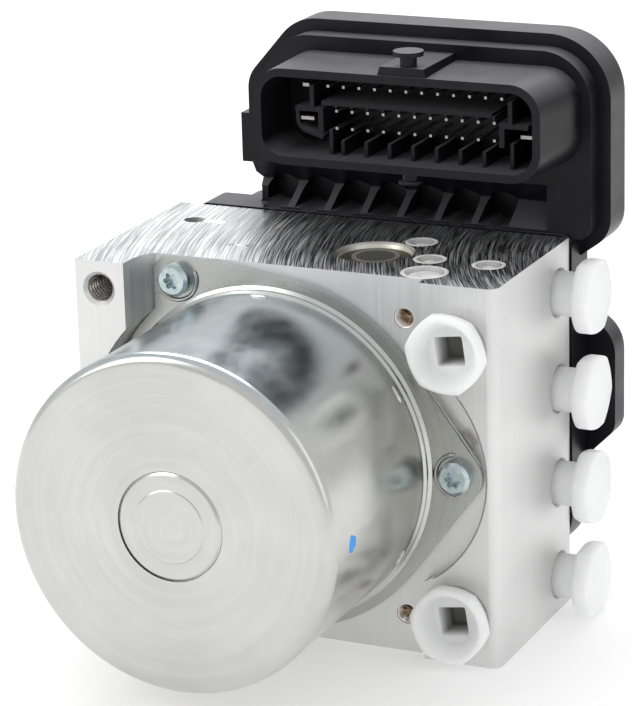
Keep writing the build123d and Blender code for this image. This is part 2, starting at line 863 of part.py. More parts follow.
# --- low pressure accumulators ------------------------------------------------------------
def accumulator_piston(x):
    """Cup piston with a seal groove, standing on its spring."""
    low = accumulator_cap + accumulator_spring_length
    high = low + accumulator_piston_length
    radius = accumulator_radius - 0.03
    return turned_upright(
        [
            (0, low + 3.0),
            (radius - 2.0, low + 3.0),
            (radius - 2.0, low),
            (radius, low),
            (radius, low + 4.0),
            (radius - 1.2, low + 4.0),
            (radius - 1.2, low + 6.0),
            (radius, low + 6.0),
            (radius, high),
            (0, high),
        ],
        x,
        accumulator_y,
    )


def accumulator_spring(x):
    """Spring between the cap and the underside of the piston's crown."""
    return coil_spring(
        (x, accumulator_y, accumulator_cap),
        (0, 0, 1),
        accumulator_spring_length + 3.0,
        accumulator_radius - 2.4,
        accumulator_wire,
        4,
    )


accumulator_piston_left = accumulator_piston(accumulator_x[0])
accumulator_piston_left.part.label = "accumulator_piston_left"
export_step(accumulator_piston_left.part, "parts/accumulator_piston_left.step")

accumulator_piston_right = accumulator_piston(accumulator_x[1])
accumulator_piston_right.part.label = "accumulator_piston_right"
export_step(accumulator_piston_right.part, "parts/accumulator_piston_right.step")

accumulator_spring_left = accumulator_spring(accumulator_x[0])
accumulator_spring_left.part.label = "accumulator_spring_left"
export_step(accumulator_spring_left.part, "parts/accumulator_spring_left.step")

accumulator_spring_right = accumulator_spring(accumulator_x[1])
accumulator_spring_right.part.label = "accumulator_spring_right"
export_step(accumulator_spring_right.part, "parts/accumulator_spring_right.step")

with BuildPart() as accumulator_caps:
    for x in accumulator_x:
        with BuildSketch(Plane.XY.offset(0.5)):
            with Locations((x, accumulator_y)):
                Circle(accumulator_radius - fit)
        extrude(amount=accumulator_cap - 0.5)
accumulator_caps.part.label = "accumulator_caps"
export_step(accumulator_caps.part, "parts/accumulator_caps.step")


# --- solenoid valve cartridges ---------------------------------------------------------------
def cartridges(columns, z):
    """Sealed valve cartridges of one row, domes to the rear."""
    with BuildPart() as row:
        with BuildSketch(face_plane(rear_y - valve_depth + 0.3)):
            with Locations(*[(x, z) for x in columns]):
                Circle(valve_bore_radius - fit)
        extrude(amount=-(valve_depth - valve_step - 0.3))
        with BuildSketch(face_plane(rear_y - valve_step)):
            with Locations(*[(x, z) for x in columns]):
                Circle(valve_collar_radius - fit)
        extrude(amount=-(valve_step - 0.8))
        with BuildSketch(face_plane(rear_y - 0.8)):
            with Locations(*[(x, z) for x in columns]):
                Circle(dome_radius)
        extrude(amount=-(dome_length + 0.8))
        tips = row.faces().sort_by(Axis.Y)[-len(columns):]
        fillet(tips.edges(), radius=1.2)
    return row


inlet_valves = cartridges(valve_columns, inlet_row)
inlet_valves.part.label = "inlet_valves"
export_step(inlet_valves.part, "parts/inlet_valves.step")

outlet_valves = cartridges(valve_columns, outlet_row)
outlet_valves.part.label = "outlet_valves"
export_step(outlet_valves.part, "parts/outlet_valves.step")

isolation_valves = cartridges(valve_columns[0::3], switch_row)
isolation_valves.part.label = "isolation_valves"
export_step(isolation_valves.part, "parts/isolation_valves.step")

supply_valves = cartridges(valve_columns[1:3], switch_row)
supply_valves.part.label = "supply_valves"
export_step(supply_valves.part, "parts/supply_valves.step")

with BuildPart() as valve_coils:
    with BuildSketch(face_plane(frame_y + 0.3)):
        with Locations(*[(x, z) for x in valve_columns for z in (inlet_row, outlet_row, switch_row)]):
            Circle(coil_radius)
            Circle(dome_radius + 0.15, mode=Mode.SUBTRACT)
    extrude(amount=-coil_length)
valve_coils.part.label = "valve_coils"
export_step(valve_coils.part, "parts/valve_coils.step")

with BuildPart() as pressure_sensor:
    with BuildSketch(face_plane(rear_y - sensor_depth + 0.3)):
        with Locations((sensor_x, sensor_z)):
            Circle(sensor_radius - fit)
    extrude(amount=-(sensor_depth - 0.3 + gasket))
    with BuildSketch(face_plane(frame_y)):
        with Locations((sensor_x, sensor_z)):
            RegularPolygon(radius=sensor_radius + 0.5, side_count=6)
    extrude(amount=-(frame_depth - frame_wall - 0.4))
pressure_sensor.part.label = "pressure_sensor"
export_step(pressure_sensor.part, "parts/pressure_sensor.step")

# --- caps, balls and caulked plugs of the drillings ---------------------------------------------
recess_z = block_height - damper_recess_depth
damper_cap = turned_upright(
    [
        (0, block_height - 0.9),
        (damper_disc_radius, block_height - 0.9),
        (damper_disc_radius, block_height - 1.4),
        (damper_recess_radius - 0.9, block_height - 1.4),
        (damper_recess_radius - 0.5, block_height - 0.5),
        (damper_recess_radius - fit, block_height - 0.5),
        (damper_recess_radius - fit, recess_z),
        (damper_bore_radius - fit, recess_z),
        (damper_bore_radius - fit, recess_z - 8.0),
        (0, recess_z - 8.0),
    ],
    damper_x,
    damper_y,
)
damper_cap.part.label = "damper_cap"
export_step(damper_cap.part, "parts/damper_cap.step")

with BuildPart() as sealing_balls:
    for x, y in ball_holes:
        with Locations((x, y, block_height - ball_plug_radius - 0.3)):
            Sphere(ball_plug_radius - fit)
sealing_balls.part.label = "sealing_balls"
export_step(sealing_balls.part, "parts/sealing_balls.step")

with BuildPart() as large_port_plug:
    with Locations((*large_plug_spot, block_height - 0.7)):
        Cylinder(
            large_plug_radius - fit,
            large_plug_length,
            align=(Align.CENTER, Align.CENTER, Align.MAX),
        )
    fillet(large_port_plug.faces().sort_by(Axis.Z)[-1].edges(), radius=1.6)
large_port_plug.part.label = "large_port_plug"
export_step(large_port_plug.part, "parts/large_port_plug.step")

with BuildPart() as caulked_plugs:
    with BuildSketch(face_plane(floor_y + caulk_length)):
        with Locations(*caulk_spots):
            Circle(caulk_radius - fit)
    extrude(amount=caulk_length - 0.4)
caulked_plugs.part.label = "caulked_plugs"
export_step(caulked_plugs.part, "parts/caulked_plugs.step")


# --- transport plugs -------------------------------------------------------------------------------
def front_plug(z):
    """Plug with a square drive in one of the two front ports."""
    seat = face_plane(front_y)
    seat.origin = (right_x - front_port_inset, front_y + spot_face_depth, z)
    return port_plug(
        seat,
        front_neck_radius,
        front_neck_length + spot_face_depth,
        front_head_corner,
        front_head_thickness,
        front_plug_turn,
        True,
    )


def side_plug(index):
    """Plug in one of the four wheel ports, counted from the top."""
    seat = side_plane(right_x)
    seat.origin = (right_x, side_port_y, side_port_z[index])
    corner = side_head_across / math.sqrt(3)
    return port_plug(
        seat,
        side_neck_radius,
        side_neck_length,
        corner,
        side_head_thickness,
        side_plug_turns[index],
        False,
    )


front_port_plug_upper = front_plug(front_port_z[0])
front_port_plug_upper.part.label = "front_port_plug_upper"
export_step(front_port_plug_upper.part, "parts/front_port_plug_upper.step")

front_port_plug_lower = front_plug(front_port_z[1])
front_port_plug_lower.part.label = "front_port_plug_lower"
export_step(front_port_plug_lower.part, "parts/front_port_plug_lower.step")

side_port_plug_1 = side_plug(0)
side_port_plug_1.part.label = "side_port_plug_1"
export_step(side_port_plug_1.part, "parts/side_port_plug_1.step")

side_port_plug_2 = side_plug(1)
side_port_plug_2.part.label = "side_port_plug_2"
export_step(side_port_plug_2.part, "parts/side_port_plug_2.step")

side_port_plug_3 = side_plug(2)
side_port_plug_3.part.label = "side_port_plug_3"
export_step(side_port_plug_3.part, "parts/side_port_plug_3.step")

side_port_plug_4 = side_plug(3)
side_port_plug_4.part.label = "side_port_plug_4"
export_step(side_port_plug_4.part, "parts/side_port_plug_4.step")


# --- controller housing ---------------------------------------------------------------------------
def rim_sketch(y, inset, low=-500.0, high=500.0):
    """Outline of the controller's rim at depth y, moved in by inset, between two heights."""
    corners = [
        ((low_left, low_bottom), 4.0),
        ((notch_x, low_bottom), 4.0),
        ((notch_x, lobe_low - (rim_right - notch_x)), 4.0),
        ((rim_right, lobe_low), 5.0),
        ((rim_right, lobe_high), 9.5),
        ((notch_x, lobe_high), 3.0),
        ((notch_x, notch_top), 3.0),
        ((rim_right, notch_top + 0.73 * (rim_right - notch_x)), 8.0),
        ((rim_right, rim_top), 15.5),
        ((rim_left + 13.5, rim_top), 12.0),
        ((rim_left, rim_top - 15.5), 8.0),
        ((rim_left, waist_top - 0.5), 5.0),
        ((rim_left + 2.9, waist_z - 1.8), 2.0),
        ((rim_left + 2.9, frame_top), 0.8),
        ((low_left, frame_top), 4.2),
    ]
    with BuildSketch(face_plane(y)) as outline:
        with BuildLine():
            FilletPolyline(
                *[point for point, radius in corners],
                radius=[radius for point, radius in corners],
                close=True,
            )
        make_face()
        if inset:
            offset(amount=-inset, kind=Kind.ARC, mode=Mode.REPLACE)
        with Locations((0, low)):
            Rectangle(500, high - low, align=(Align.CENTER, Align.MIN), mode=Mode.INTERSECT)
    return outline.sketch


def frame_sketch(y, inset):
    """Outline of the frame that seals against the block, moved in by inset."""
    with BuildSketch(face_plane(y)) as outline:
        with BuildLine():
            FilletPolyline(
                (frame_left, frame_bottom),
                (frame_right, frame_bottom),
                (frame_right, frame_top),
                (frame_left, frame_top),
                radius=[4.0, frame_corner, 3.0, 3.0],
                close=True,
            )
        make_face()
        if inset:
            offset(amount=-inset, kind=Kind.ARC, mode=Mode.REPLACE)
    return outline.sketch


shroud_x = (shroud_left + shroud_right) / 2
shroud_z = (shroud_bottom + shroud_top) / 2
shroud_width = shroud_right - shroud_left
shroud_height = shroud_top - shroud_bottom
frame_back_y = frame_y + frame_depth
inner_inset = rim_step + housing_wall
pin_rows = [(pin_first + i * pin_pitch, pin_top_z) for i in range(12)]
for z in (pin_middle_z, pin_low_z):
    pin_rows = pin_rows + [(pin_first + 2.1 + i * pin_pitch, z) for i in range(11)]

with BuildPart() as ecu_housing:
    extrude(frame_sketch(frame_y, 0), amount=-frame_depth)
    extrude(rim_sketch(body_y, rim_step, low=frame_top - 1), amount=-(split_y - body_y))
    extrude(rim_sketch(rim_y, 0, low=notch_top), amount=-(split_y - rim_y))
    extrude(rim_sketch(lobe_y, 0), amount=-(split_y - lobe_y))
    # connector shroud flaring into the wall
    with BuildSketch(face_plane(shroud_y)):
        with Locations((shroud_x, shroud_z)):
            RectangleRounded(shroud_width, shroud_height, shroud_corner)
    with BuildSketch(face_plane(body_y + 1)):
        with Locations((shroud_x + shroud_flare / 3, shroud_z)):
            RectangleRounded(shroud_width + 1.3 * shroud_flare, shroud_height + 0.8, shroud_corner + 1)
    loft()
    # waist under the shroud and the arched niches between its gussets
    with BuildSketch(Plane.YZ.offset(left_x)):
        Polygon(
            (frame_y - 4, frame_top + 0.2),
            (frame_y, frame_top + 0.2),
            (waist_y, waist_z),
            (body_y, waist_top),
            (frame_y - 4, waist_top),
            align=None,
        )
    extrude(amount=right_x - 6.0 - left_x, mode=Mode.SUBTRACT)
    with BuildSketch(face_plane(frame_y - 1)):
        for i in range(niche_count):
            with Locations((niche_first + i * niche_pitch, niche_floor)):
                Rectangle(
                    niche_width,
                    niche_top - niche_width / 2 - niche_floor,
                    align=(Align.CENTER, Align.MIN),
                )
            with Locations((niche_first + i * niche_pitch, niche_top - niche_width / 2)):
                Circle(niche_width / 2)
    extrude(amount=-(split_y - 2.0 - frame_y + 1), mode=Mode.SUBTRACT)
    # hollow for coils, board and terminals
    extrude(frame_sketch(frame_y, frame_wall), amount=-(frame_depth - frame_wall), mode=Mode.SUBTRACT)
    extrude(
        rim_sketch(lobe_y + 2.0, inner_inset, high=frame_top - frame_wall),
        amount=-(split_y - lobe_y - 2.0),
        mode=Mode.SUBTRACT,
    )
    with BuildSketch(face_plane(frame_back_y - frame_wall)):
        add(rim_sketch(frame_back_y - frame_wall, inner_inset, high=frame_top - frame_wall))
        add(frame_sketch(frame_back_y - frame_wall, frame_wall), mode=Mode.INTERSECT)
    extrude(amount=-(split_y - frame_back_y + frame_wall), mode=Mode.SUBTRACT)
    extrude(
        rim_sketch(body_y + front_wall, inner_inset, low=waist_top + 2.5),
        amount=-(split_y - body_y - front_wall),
        mode=Mode.SUBTRACT,
    )
    # connector cavity with its coding bars, ribs and tabs
    with BuildSketch(face_plane(shroud_y)):
        with Locations((shroud_x, shroud_z)):
            RectangleRounded(
                shroud_width - 2 * shroud_wall,
                shroud_height - 2 * shroud_wall,
                shroud_corner - shroud_wall,
            )
    extrude(amount=-(shroud_floor_y - shroud_y), mode=Mode.SUBTRACT)
    with BuildSketch(face_plane(shroud_floor_y)) as bars:
        for x, z, width, height in (
            (shroud_left + 13.3, shroud_top - 7.5, 1.1, 5.8),
            (shroud_left + 12.5, shroud_top - 10.5, 7.2, 1.1),
            (shroud_left + 15.5, shroud_top - 13.2, 1.3, 5.4),
            (shroud_right - 9.2, shroud_top - 8.1, 1.1, 5.9),
            (shroud_right - 8.3, shroud_top - 11.1, 7.2, 1.1),
            (shroud_right - 11.3, shroud_top - 13.4, 1.3, 5.6),
            (shroud_left + 37.5, shroud_top - 8.8, 43.5, 1.0),
        ):
            with Locations((x, z)):
                Rectangle(width, height)
        for i in range(11):
            with Locations((pin_first + 2.1 + i * pin_pitch, shroud_top - 9.3)):
                Rectangle(0.7, 0.9)
        with BuildLine():
            bracket = FilletPolyline(
                (shroud_left + 9.4, shroud_top - 10.4),
                (shroud_left + 9.6, shroud_top - 15.2),
                (shroud_left + 16.0, shroud_top - 17.2),
                radius=3.0,
            )
        trace(line_width=0.9)
    extrude(amount=shroud_floor_y - bar_tip_y)
    with BuildSketch(face_plane(shroud_floor_y)):
        rib_foot = shroud_bottom + shroud_wall - 0.2
        for i in range(7):
            with Locations((shroud_left + 20.9 + i * 6.03, rib_foot)):
                Rectangle(0.9, 3.9, align=(Align.CENTER, Align.MIN))
        with Locations((shroud_left + 17.9, rib_foot), (shroud_right - 8.9, rib_foot)):
            Rectangle(0.9, 6.4, align=(Align.CENTER, Align.MIN))
        for i in range(5):
            with Locations((shroud_left + 22.5 + i * 8.12, shroud_top - shroud_wall + 0.2)):
                Rectangle(1.4, 1.0, align=(Align.CENTER, Align.MAX))
    extrude(amount=shroud_floor_y - bar_tip_y - 0.5)
    # raised pad and lever pivots above and below the shroud
    with BuildSketch(face_plane(shroud_y + 0.6)):
        Polygon(
            (pivot_x - 7.3, shroud_top - 1.0),
            (pivot_x + 5.8, shroud_top - 1.0),
            (pivot_x + 4.8, shroud_top + 2.0),
            (pivot_x - 6.3, shroud_top + 2.0),
            align=None,
        )
    extrude(amount=-(body_y - shroud_y))
    with Locations((pivot_x, pivot_y, shroud_top)):
        Cylinder(2.0, 5.0, align=(Align.CENTER, Align.CENTER, Align.MIN))
    with Locations((pivot_x, pivot_y, shroud_top + 4.6)):
        Cylinder(3.6, 1.1, align=(Align.CENTER, Align.CENTER, Align.MIN))
    with Locations((pivot_x, pivot_y, shroud_bottom + 0.5)):
        Cylinder(1.9, 3.2, align=(Align.CENTER, Align.CENTER, Align.MAX))
    with Locations((pivot_x, pivot_y, shroud_bottom - 2.2)):
        Cylinder(2.9, 0.5, align=(Align.CENTER, Align.CENTER, Align.MAX))
    # tab on the left edge
    with Locations((rim_left - tab_width, rim_y, tab_low)):
        Box(
            tab_width + 3.0,
            5.5,
            tab_high - tab_low,
            align=(Align.MIN, Align.MIN, Align.MIN),
        )
    # screw bosses
    with BuildSketch(face_plane(frame_y)):
        with Locations(*ecu_screw_spots):
            Circle(ecu_boss_radius)
    extrude(amount=-frame_depth)
    with BuildSketch(face_plane(frame_y)):
        with Locations(*ecu_screw_spots):
            Circle(ecu_screw_radius + 0.15)
    extrude(amount=-frame_depth, mode=Mode.SUBTRACT)
    # terminal slots through the wall
    with BuildSketch(face_plane(shroud_floor_y)):
        with Locations(*pin_rows):
            Rectangle(pin_size + 2 * fit, pin_size + 2 * fit)
        with Locations(blade_left, blade_right):
            Rectangle(blade_width + 2 * fit, blade_thickness + 2 * fit)
        with Locations(*small_blades):
            Rectangle(small_blade_width + 2 * fit, blade_thickness + 2 * fit)
    extrude(amount=-(body_y + front_wall - shroud_floor_y), mode=Mode.SUBTRACT)
ecu_housing.part.label = "ecu_housing"
export_step(ecu_housing.part, "parts/ecu_housing.step")

with BuildPart() as signal_pins:
    with BuildSketch(face_plane(split_y)):
        with Locations(*pin_rows):
            Rectangle(pin_size, pin_size)
    extrude(amount=split_y - pin_tip_y)
signal_pins.part.label = "signal_pins"
export_step(signal_pins.part, "parts/signal_pins.step")

with BuildPart() as power_blades:
    with BuildSketch(face_plane(split_y)):
        with Locations(blade_left, blade_right):
            Rectangle(blade_width, blade_thickness)
        with Locations(*small_blades):
            Rectangle(small_blade_width, blade_thickness)
    extrude(amount=split_y - pin_tip_y)
power_blades.part.label = "power_blades"
export_step(power_blades.part, "parts/power_blades.step")

with BuildPart() as ecu_cover:
    extrude(rim_sketch(split_y, 0), amount=-cover_depth)
    back_face = ecu_cover.faces().sort_by(Axis.Y)[-1]
    fillet(back_face.outer_wire().edges(), radius=cover_round)
    bulge_spot = ((bulge_left + bulge_right) / 2, (bulge_bottom + bulge_top) / 2)
    bulge_width = bulge_right - bulge_left
    bulge_height = bulge_top - bulge_bottom
    with BuildSketch(face_plane(split_y + cover_depth)):
        with Locations(bulge_spot):
            RectangleRounded(bulge_width, bulge_height, bulge_corner)
    extrude(amount=-bulge_depth)
    back_face = ecu_cover.faces().sort_by(Axis.Y)[-1]
    fillet(back_face.outer_wire().edges(), radius=cover_round)
    extrude(rim_sketch(split_y, cover_wall), amount=-(cover_depth - cover_wall), mode=Mode.SUBTRACT)
    with BuildSketch(face_plane(split_y)):
        with Locations(bulge_spot):
            RectangleRounded(
                bulge_width - 2 * cover_wall,
                bulge_height - 2 * cover_wall,
                bulge_corner - cover_wall,
            )
    extrude(amount=-(cover_depth + bulge_depth - cover_wall), mode=Mode.SUBTRACT)
ecu_cover.part.label = "ecu_cover"
export_step(ecu_cover.part, "parts/ecu_cover.step")

with BuildPart() as circuit_board:
    extrude(rim_sketch(split_y, rim_step - board_edge), amount=-board_thickness)
circuit_board.part.label = "circuit_board"
export_step(circuit_board.part, "parts/circuit_board.step")

with BuildPart() as ecu_gasket:
    extrude(frame_sketch(rear_y, 0.5), amount=-gasket)
    extrude(frame_sketch(rear_y, frame_wall - 0.2), amount=-gasket, mode=Mode.SUBTRACT)
ecu_gasket.part.label = "ecu_gasket"
export_step(ecu_gasket.part, "parts/ecu_gasket.step")

with BuildPart() as ecu_screws:
    with BuildSketch(face_plane(frame_back_y)):
        with Locations(*ecu_screw_spots):
            Circle(ecu_screw_head)
    extrude(amount=-2.4)
    with BuildSketch(face_plane(frame_back_y)):
        with Locations(*ecu_screw_spots):
            Circle(ecu_screw_radius)
    extrude(amount=frame_back_y - rear_y + ecu_screw_depth - 0.5)
ecu_screws.part.label = "ecu_screws"
export_step(ecu_screws.part, "parts/ecu_screws.step")
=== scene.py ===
import math
import bmesh
import bpy
import numpy as np
from mathutils import Matrix, Vector


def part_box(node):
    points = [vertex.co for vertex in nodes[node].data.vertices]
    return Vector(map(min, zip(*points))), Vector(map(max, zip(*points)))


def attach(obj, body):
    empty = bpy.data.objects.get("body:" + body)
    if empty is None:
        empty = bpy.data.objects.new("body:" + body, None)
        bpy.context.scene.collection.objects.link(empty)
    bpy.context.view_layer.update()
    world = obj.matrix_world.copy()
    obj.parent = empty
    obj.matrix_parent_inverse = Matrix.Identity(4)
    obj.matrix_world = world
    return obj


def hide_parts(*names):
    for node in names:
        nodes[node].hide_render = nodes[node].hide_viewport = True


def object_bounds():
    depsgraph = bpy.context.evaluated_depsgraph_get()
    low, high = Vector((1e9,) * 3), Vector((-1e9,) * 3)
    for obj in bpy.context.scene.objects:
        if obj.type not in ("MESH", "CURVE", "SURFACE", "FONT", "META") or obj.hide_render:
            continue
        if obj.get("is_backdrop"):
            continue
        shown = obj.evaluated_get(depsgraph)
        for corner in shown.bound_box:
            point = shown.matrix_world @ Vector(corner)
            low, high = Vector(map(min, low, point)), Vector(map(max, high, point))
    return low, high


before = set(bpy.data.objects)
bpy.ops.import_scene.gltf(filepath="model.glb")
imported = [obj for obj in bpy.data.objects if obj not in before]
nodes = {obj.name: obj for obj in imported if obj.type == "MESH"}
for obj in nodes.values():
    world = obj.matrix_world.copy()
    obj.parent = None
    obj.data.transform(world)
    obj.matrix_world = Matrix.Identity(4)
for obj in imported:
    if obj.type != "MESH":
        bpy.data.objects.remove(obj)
cad_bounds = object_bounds()

# Sizes in metres, in the block's frame: X right, Y to the rear, Z up.
MM = 0.001
BLOCK_LOW, BLOCK_HIGH = (Vector(c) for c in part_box("hydraulic_block"))
CAN_LOW, CAN_HIGH = (Vector(c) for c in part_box("motor_can"))
MOTOR_X = (CAN_LOW.x + CAN_HIGH.x) / 2
MOTOR_Z = (CAN_LOW.z + CAN_HIGH.z) / 2
FLANGE_FRONT = CAN_HIGH.y  # the can ends on the front face of its foot
FLOOR_Y = FLANGE_FRONT + 1.6 * MM  # floor of the block's pocket, behind the foot
FRONT_Y = FLOOR_Y - 3.0 * MM  # the block's front face, round the pocket
BOSS_FRONT_Y = BLOCK_LOW.y
BLOCK_TOP = BLOCK_HIGH.z
BLOCK_RIGHT = BLOCK_HIGH.x
EAR_CIRCLE = 47.1 * MM  # from the motor's axis to its screws
BRACKET_X = -45.35 * MM  # axis of the bracket hole
BRACKET_Z = BLOCK_TOP - 6.8 * MM
MILL_X, MILL_Y = 0.139, 0.038  # middle of the arcs that the face mill left on the top
UNDERSIDE = 0.02 * MM  # how deep the underside of a ridge lies in the face below it
ROOT = "modulator"


# ---------------------------------------------------------------- recipes
class Recipe:
    """A material under construction: adds nodes and links them in reading order."""

    def __init__(self, name, colour, roughness, metallic=0.0):
        self.material = bpy.data.materials.new(name)
        self.material.use_nodes = True
        self.tree = self.material.node_tree
        self.tree.nodes.clear()
        self.out = self.add("ShaderNodeOutputMaterial")
        self.skin = self.add("ShaderNodeBsdfPrincipled")
        self.skin.inputs["Base Color"].default_value = (*colour, 1.0)
        self.skin.inputs["Roughness"].default_value = roughness
        self.skin.inputs["Metallic"].default_value = metallic
        self.link(self.skin.outputs["BSDF"], self.out.inputs["Surface"])
        self.coords = self.add("ShaderNodeTexCoord").outputs["Object"]

    def add(self, kind, **settings):
        node = self.tree.nodes.new(kind)
        for key, value in settings.items():
            setattr(node, key, value)
        return node

    def link(self, source, target):
        self.tree.links.new(source, target)

    def feed(self, socket, value):
        """A number set on the socket, or another node's output linked to it."""
        if isinstance(value, (int, float)):
            socket.default_value = value
        else:
            self.link(value, socket)

    def mapped(self, scale=(1, 1, 1), location=(0, 0, 0)):
        """Object coordinates, scaled and moved."""
        node = self.add("ShaderNodeMapping")
        node.inputs["Location"].default_value = location
        node.inputs["Scale"].default_value = scale
        self.link(self.coords, node.inputs["Vector"])
        return node.outputs["Vector"]

    def noise(self, vector, scale, detail=3.0, roughness=0.55):
        node = self.add("ShaderNodeTexNoise")
        node.inputs["Scale"].default_value = scale
        node.inputs["Detail"].default_value = detail
        node.inputs["Roughness"].default_value = roughness
        self.link(vector, node.inputs["Vector"])
        return node.outputs["Fac"]

    def split(self, vector):
        node = self.add("ShaderNodeSeparateXYZ")
        self.link(vector, node.inputs["Vector"])
        return node.outputs

    def join(self, x, y, z):
        node = self.add("ShaderNodeCombineXYZ")
        for socket, value in zip(node.inputs, (x, y, z)):
            self.feed(socket, value)
        return node.outputs["Vector"]

    def math(self, operation, a, b=0.0):
        node = self.add("ShaderNodeMath", operation=operation)
        for socket, value in zip(node.inputs, (a, b)):
            self.feed(socket, value)
        return node.outputs["Value"]

    def plus(self, a, b):
        return self.math("ADD", a, b)

    def minus(self, a, b):
        return self.math("SUBTRACT", a, b)

    def times(self, a, b):
        return self.math("MULTIPLY", a, b)

    def spread(self, value, low, high, to_low=0.0, to_high=1.0, smooth=False):
        """Value from low..high moved to to_low..to_high and held there."""
        node = self.add("ShaderNodeMapRange", clamp=True)
        if smooth:
            node.interpolation_type = "SMOOTHSTEP"
        self.link(value, node.inputs["Value"])
        ends = {"From Min": low, "From Max": high, "To Min": to_low, "To Max": to_high}
        for key, number in ends.items():
            node.inputs[key].default_value = number
        return node.outputs["Result"]

    def blend(self, factor, first, second):
        """Colour mixed between first and second, each a socket or an RGB."""
        node = self.add("ShaderNodeMix", data_type="RGBA")
        sockets = [s for s in node.inputs if s.enabled]
        self.feed(sockets[0], factor)
        for socket, value in zip(sockets[1:], (first, second)):
            if isinstance(value, tuple):
                socket.default_value = (*value, 1.0)
            else:
                self.link(value, socket)
        return [o for o in node.outputs if o.enabled][0]

    def bump(self, height, strength, distance):
        node = self.add("ShaderNodeBump")
        node.inputs["Strength"].default_value = strength
        node.inputs["Distance"].default_value = distance
        self.link(height, node.inputs["Height"])
        self.link(node.outputs["Normal"], self.skin.inputs["Normal"])

    def colour(self, socket):
        self.link(socket, self.skin.inputs["Base Color"])

    def rough(self, socket):
        self.link(socket, self.skin.inputs["Roughness"])

    def distance(self, a, b):
        """Square root of a squared plus b squared."""
        return self.math("SQRT", self.plus(self.times(a, a), self.times(b, b)))

    def facing(self):
        """The surface's normal, split in X, Y and Z."""
        return self.split(self.add("ShaderNodeNewGeometry").outputs["Normal"])

    def round_axis(self, x, z):
        """Distance from an axis along Y through (x, z), the angle around it, and Y."""
        parts = self.split(self.mapped(location=(-x, 0, -z)))
        radius = self.distance(parts["X"], parts["Z"])
        angle = self.math("ARCTAN2", parts["Z"], parts["X"])
        return radius, angle, parts["Y"]


def milled_aluminium():
    """Block: satin aluminium. The top face has fine bright arcs left by a large face mill, the
    other faces have a very fine upright grain, slightly cloudy."""
    r = Recipe("milled_aluminium", (0.72, 0.73, 0.74), 0.33, 1.0)
    place = r.split(r.coords)
    normal = r.facing()
    is_top = r.spread(normal["Z"], 0.80, 0.95, smooth=True)
    from_x, from_y = r.minus(place["X"], MILL_X), r.minus(place["Y"], MILL_Y)
    reach = r.distance(from_x, from_y)
    bearing = r.times(r.math("ARCTAN2", from_y, from_x), 0.0016)
    fine_arcs = r.noise(r.join(reach, bearing, 0.0), 6400.0, 2.0)
    broad_arcs = r.noise(r.join(reach, bearing, 0.5), 2100.0, 2.0)
    scratches = r.spread(r.plus(r.times(fine_arcs, 0.6), r.times(broad_arcs, 0.4)), 0.45, 0.62)
    top = r.blend(scratches, (0.54, 0.545, 0.56), (0.84, 0.845, 0.85))
    lines = r.noise(r.mapped(scale=(1.0, 1.0, 0.012)), 2600.0, 2.0)
    cloud = r.noise(r.mapped(), 34.0, 3.0)
    side_tone = r.plus(r.spread(lines, 0.3, 0.7, 0.0, 0.45),
                       r.spread(cloud, 0.3, 0.7, 0.0, 0.55))
    side = r.blend(side_tone, (0.67, 0.67, 0.67), (0.79, 0.79, 0.785))
    r.colour(r.blend(is_top, side, top))
    side_rough = r.spread(lines, 0.3, 0.7, 0.42, 0.56)
    top_rough = r.spread(scratches, 0.0, 1.0, 0.26, 0.66)
    r.rough(r.plus(r.times(side_rough, r.minus(1.0, is_top)), r.times(top_rough, is_top)))
    height = r.plus(r.times(r.times(lines, 0.4), r.minus(1.0, is_top)),
                    r.times(scratches, r.times(is_top, 0.1)))
    r.bump(height, 0.22, 0.00010)
    return r.material


def plated_steel(name, tone, rough):
    """Zinc plated drawn steel: a soft cloudy sheen, bluish above and straw coloured below, with
    faint spin rings on faces that look along the motor's axis and fine streaks on the others."""
    r = Recipe(name, (0.60 * tone, 0.61 * tone, 0.60 * tone), 0.25, 1.0)
    radius, angle, depth = r.round_axis(MOTOR_X, MOTOR_Z)
    normal = r.facing()
    is_end = r.spread(r.math("ABSOLUTE", normal["Y"]), 0.6, 0.9, smooth=True)
    rings = r.noise(r.join(radius, r.times(angle, 0.0008), 0.0), 520.0, 4.0, 0.7)
    streaks = r.noise(r.join(r.times(angle, 0.02), r.times(depth, 0.25), 0.3), 300.0, 3.0)
    marks = r.plus(r.times(rings, is_end), r.times(streaks, r.minus(1.0, is_end)))
    cloud = r.noise(r.mapped(), 38.0, 4.0, 0.6)
    share = r.times(is_end, 0.05)
    tone_map = r.plus(r.times(cloud, r.minus(0.6, share)), r.times(marks, r.plus(0.4, share)))
    level = r.spread(tone_map, 0.35, 0.65)
    straw, blue = (
        r.blend(level, tuple(c * tone for c in dark), tuple(c * tone for c in light))
        for dark, light in (((0.54, 0.545, 0.515), (0.65, 0.655, 0.625)),
                            ((0.44, 0.51, 0.54), (0.60, 0.645, 0.66))))
    height = r.split(r.coords)["Z"]
    blued = r.times(r.spread(height, 0.066, 0.082, smooth=True), r.minus(1.0, is_end))
    r.colour(r.blend(blued, straw, blue))
    r.rough(r.spread(marks, 0.3, 0.7, rough[0], rough[1]))
    r.bump(r.times(rings, is_end), 0.03, 0.0001)
    return r.material


def machined(name, colour, roughness, grain, metallic=1.0):
    """Plain turned or moulded finish with a fine grain."""
    r = Recipe(name, colour, roughness, metallic)
    grain_map = r.noise(r.mapped(), grain, 2.0)
    dark = tuple(c * 0.82 for c in colour)
    light = tuple(min(1.0, c * 1.12) for c in colour)
    r.colour(r.blend(r.spread(grain_map, 0.3, 0.7), dark, light))
    r.rough(r.spread(grain_map, 0.3, 0.7, roughness * 0.85, min(1.0, roughness * 1.15)))
    r.bump(grain_map, 0.12, 0.00006)
    return r.material


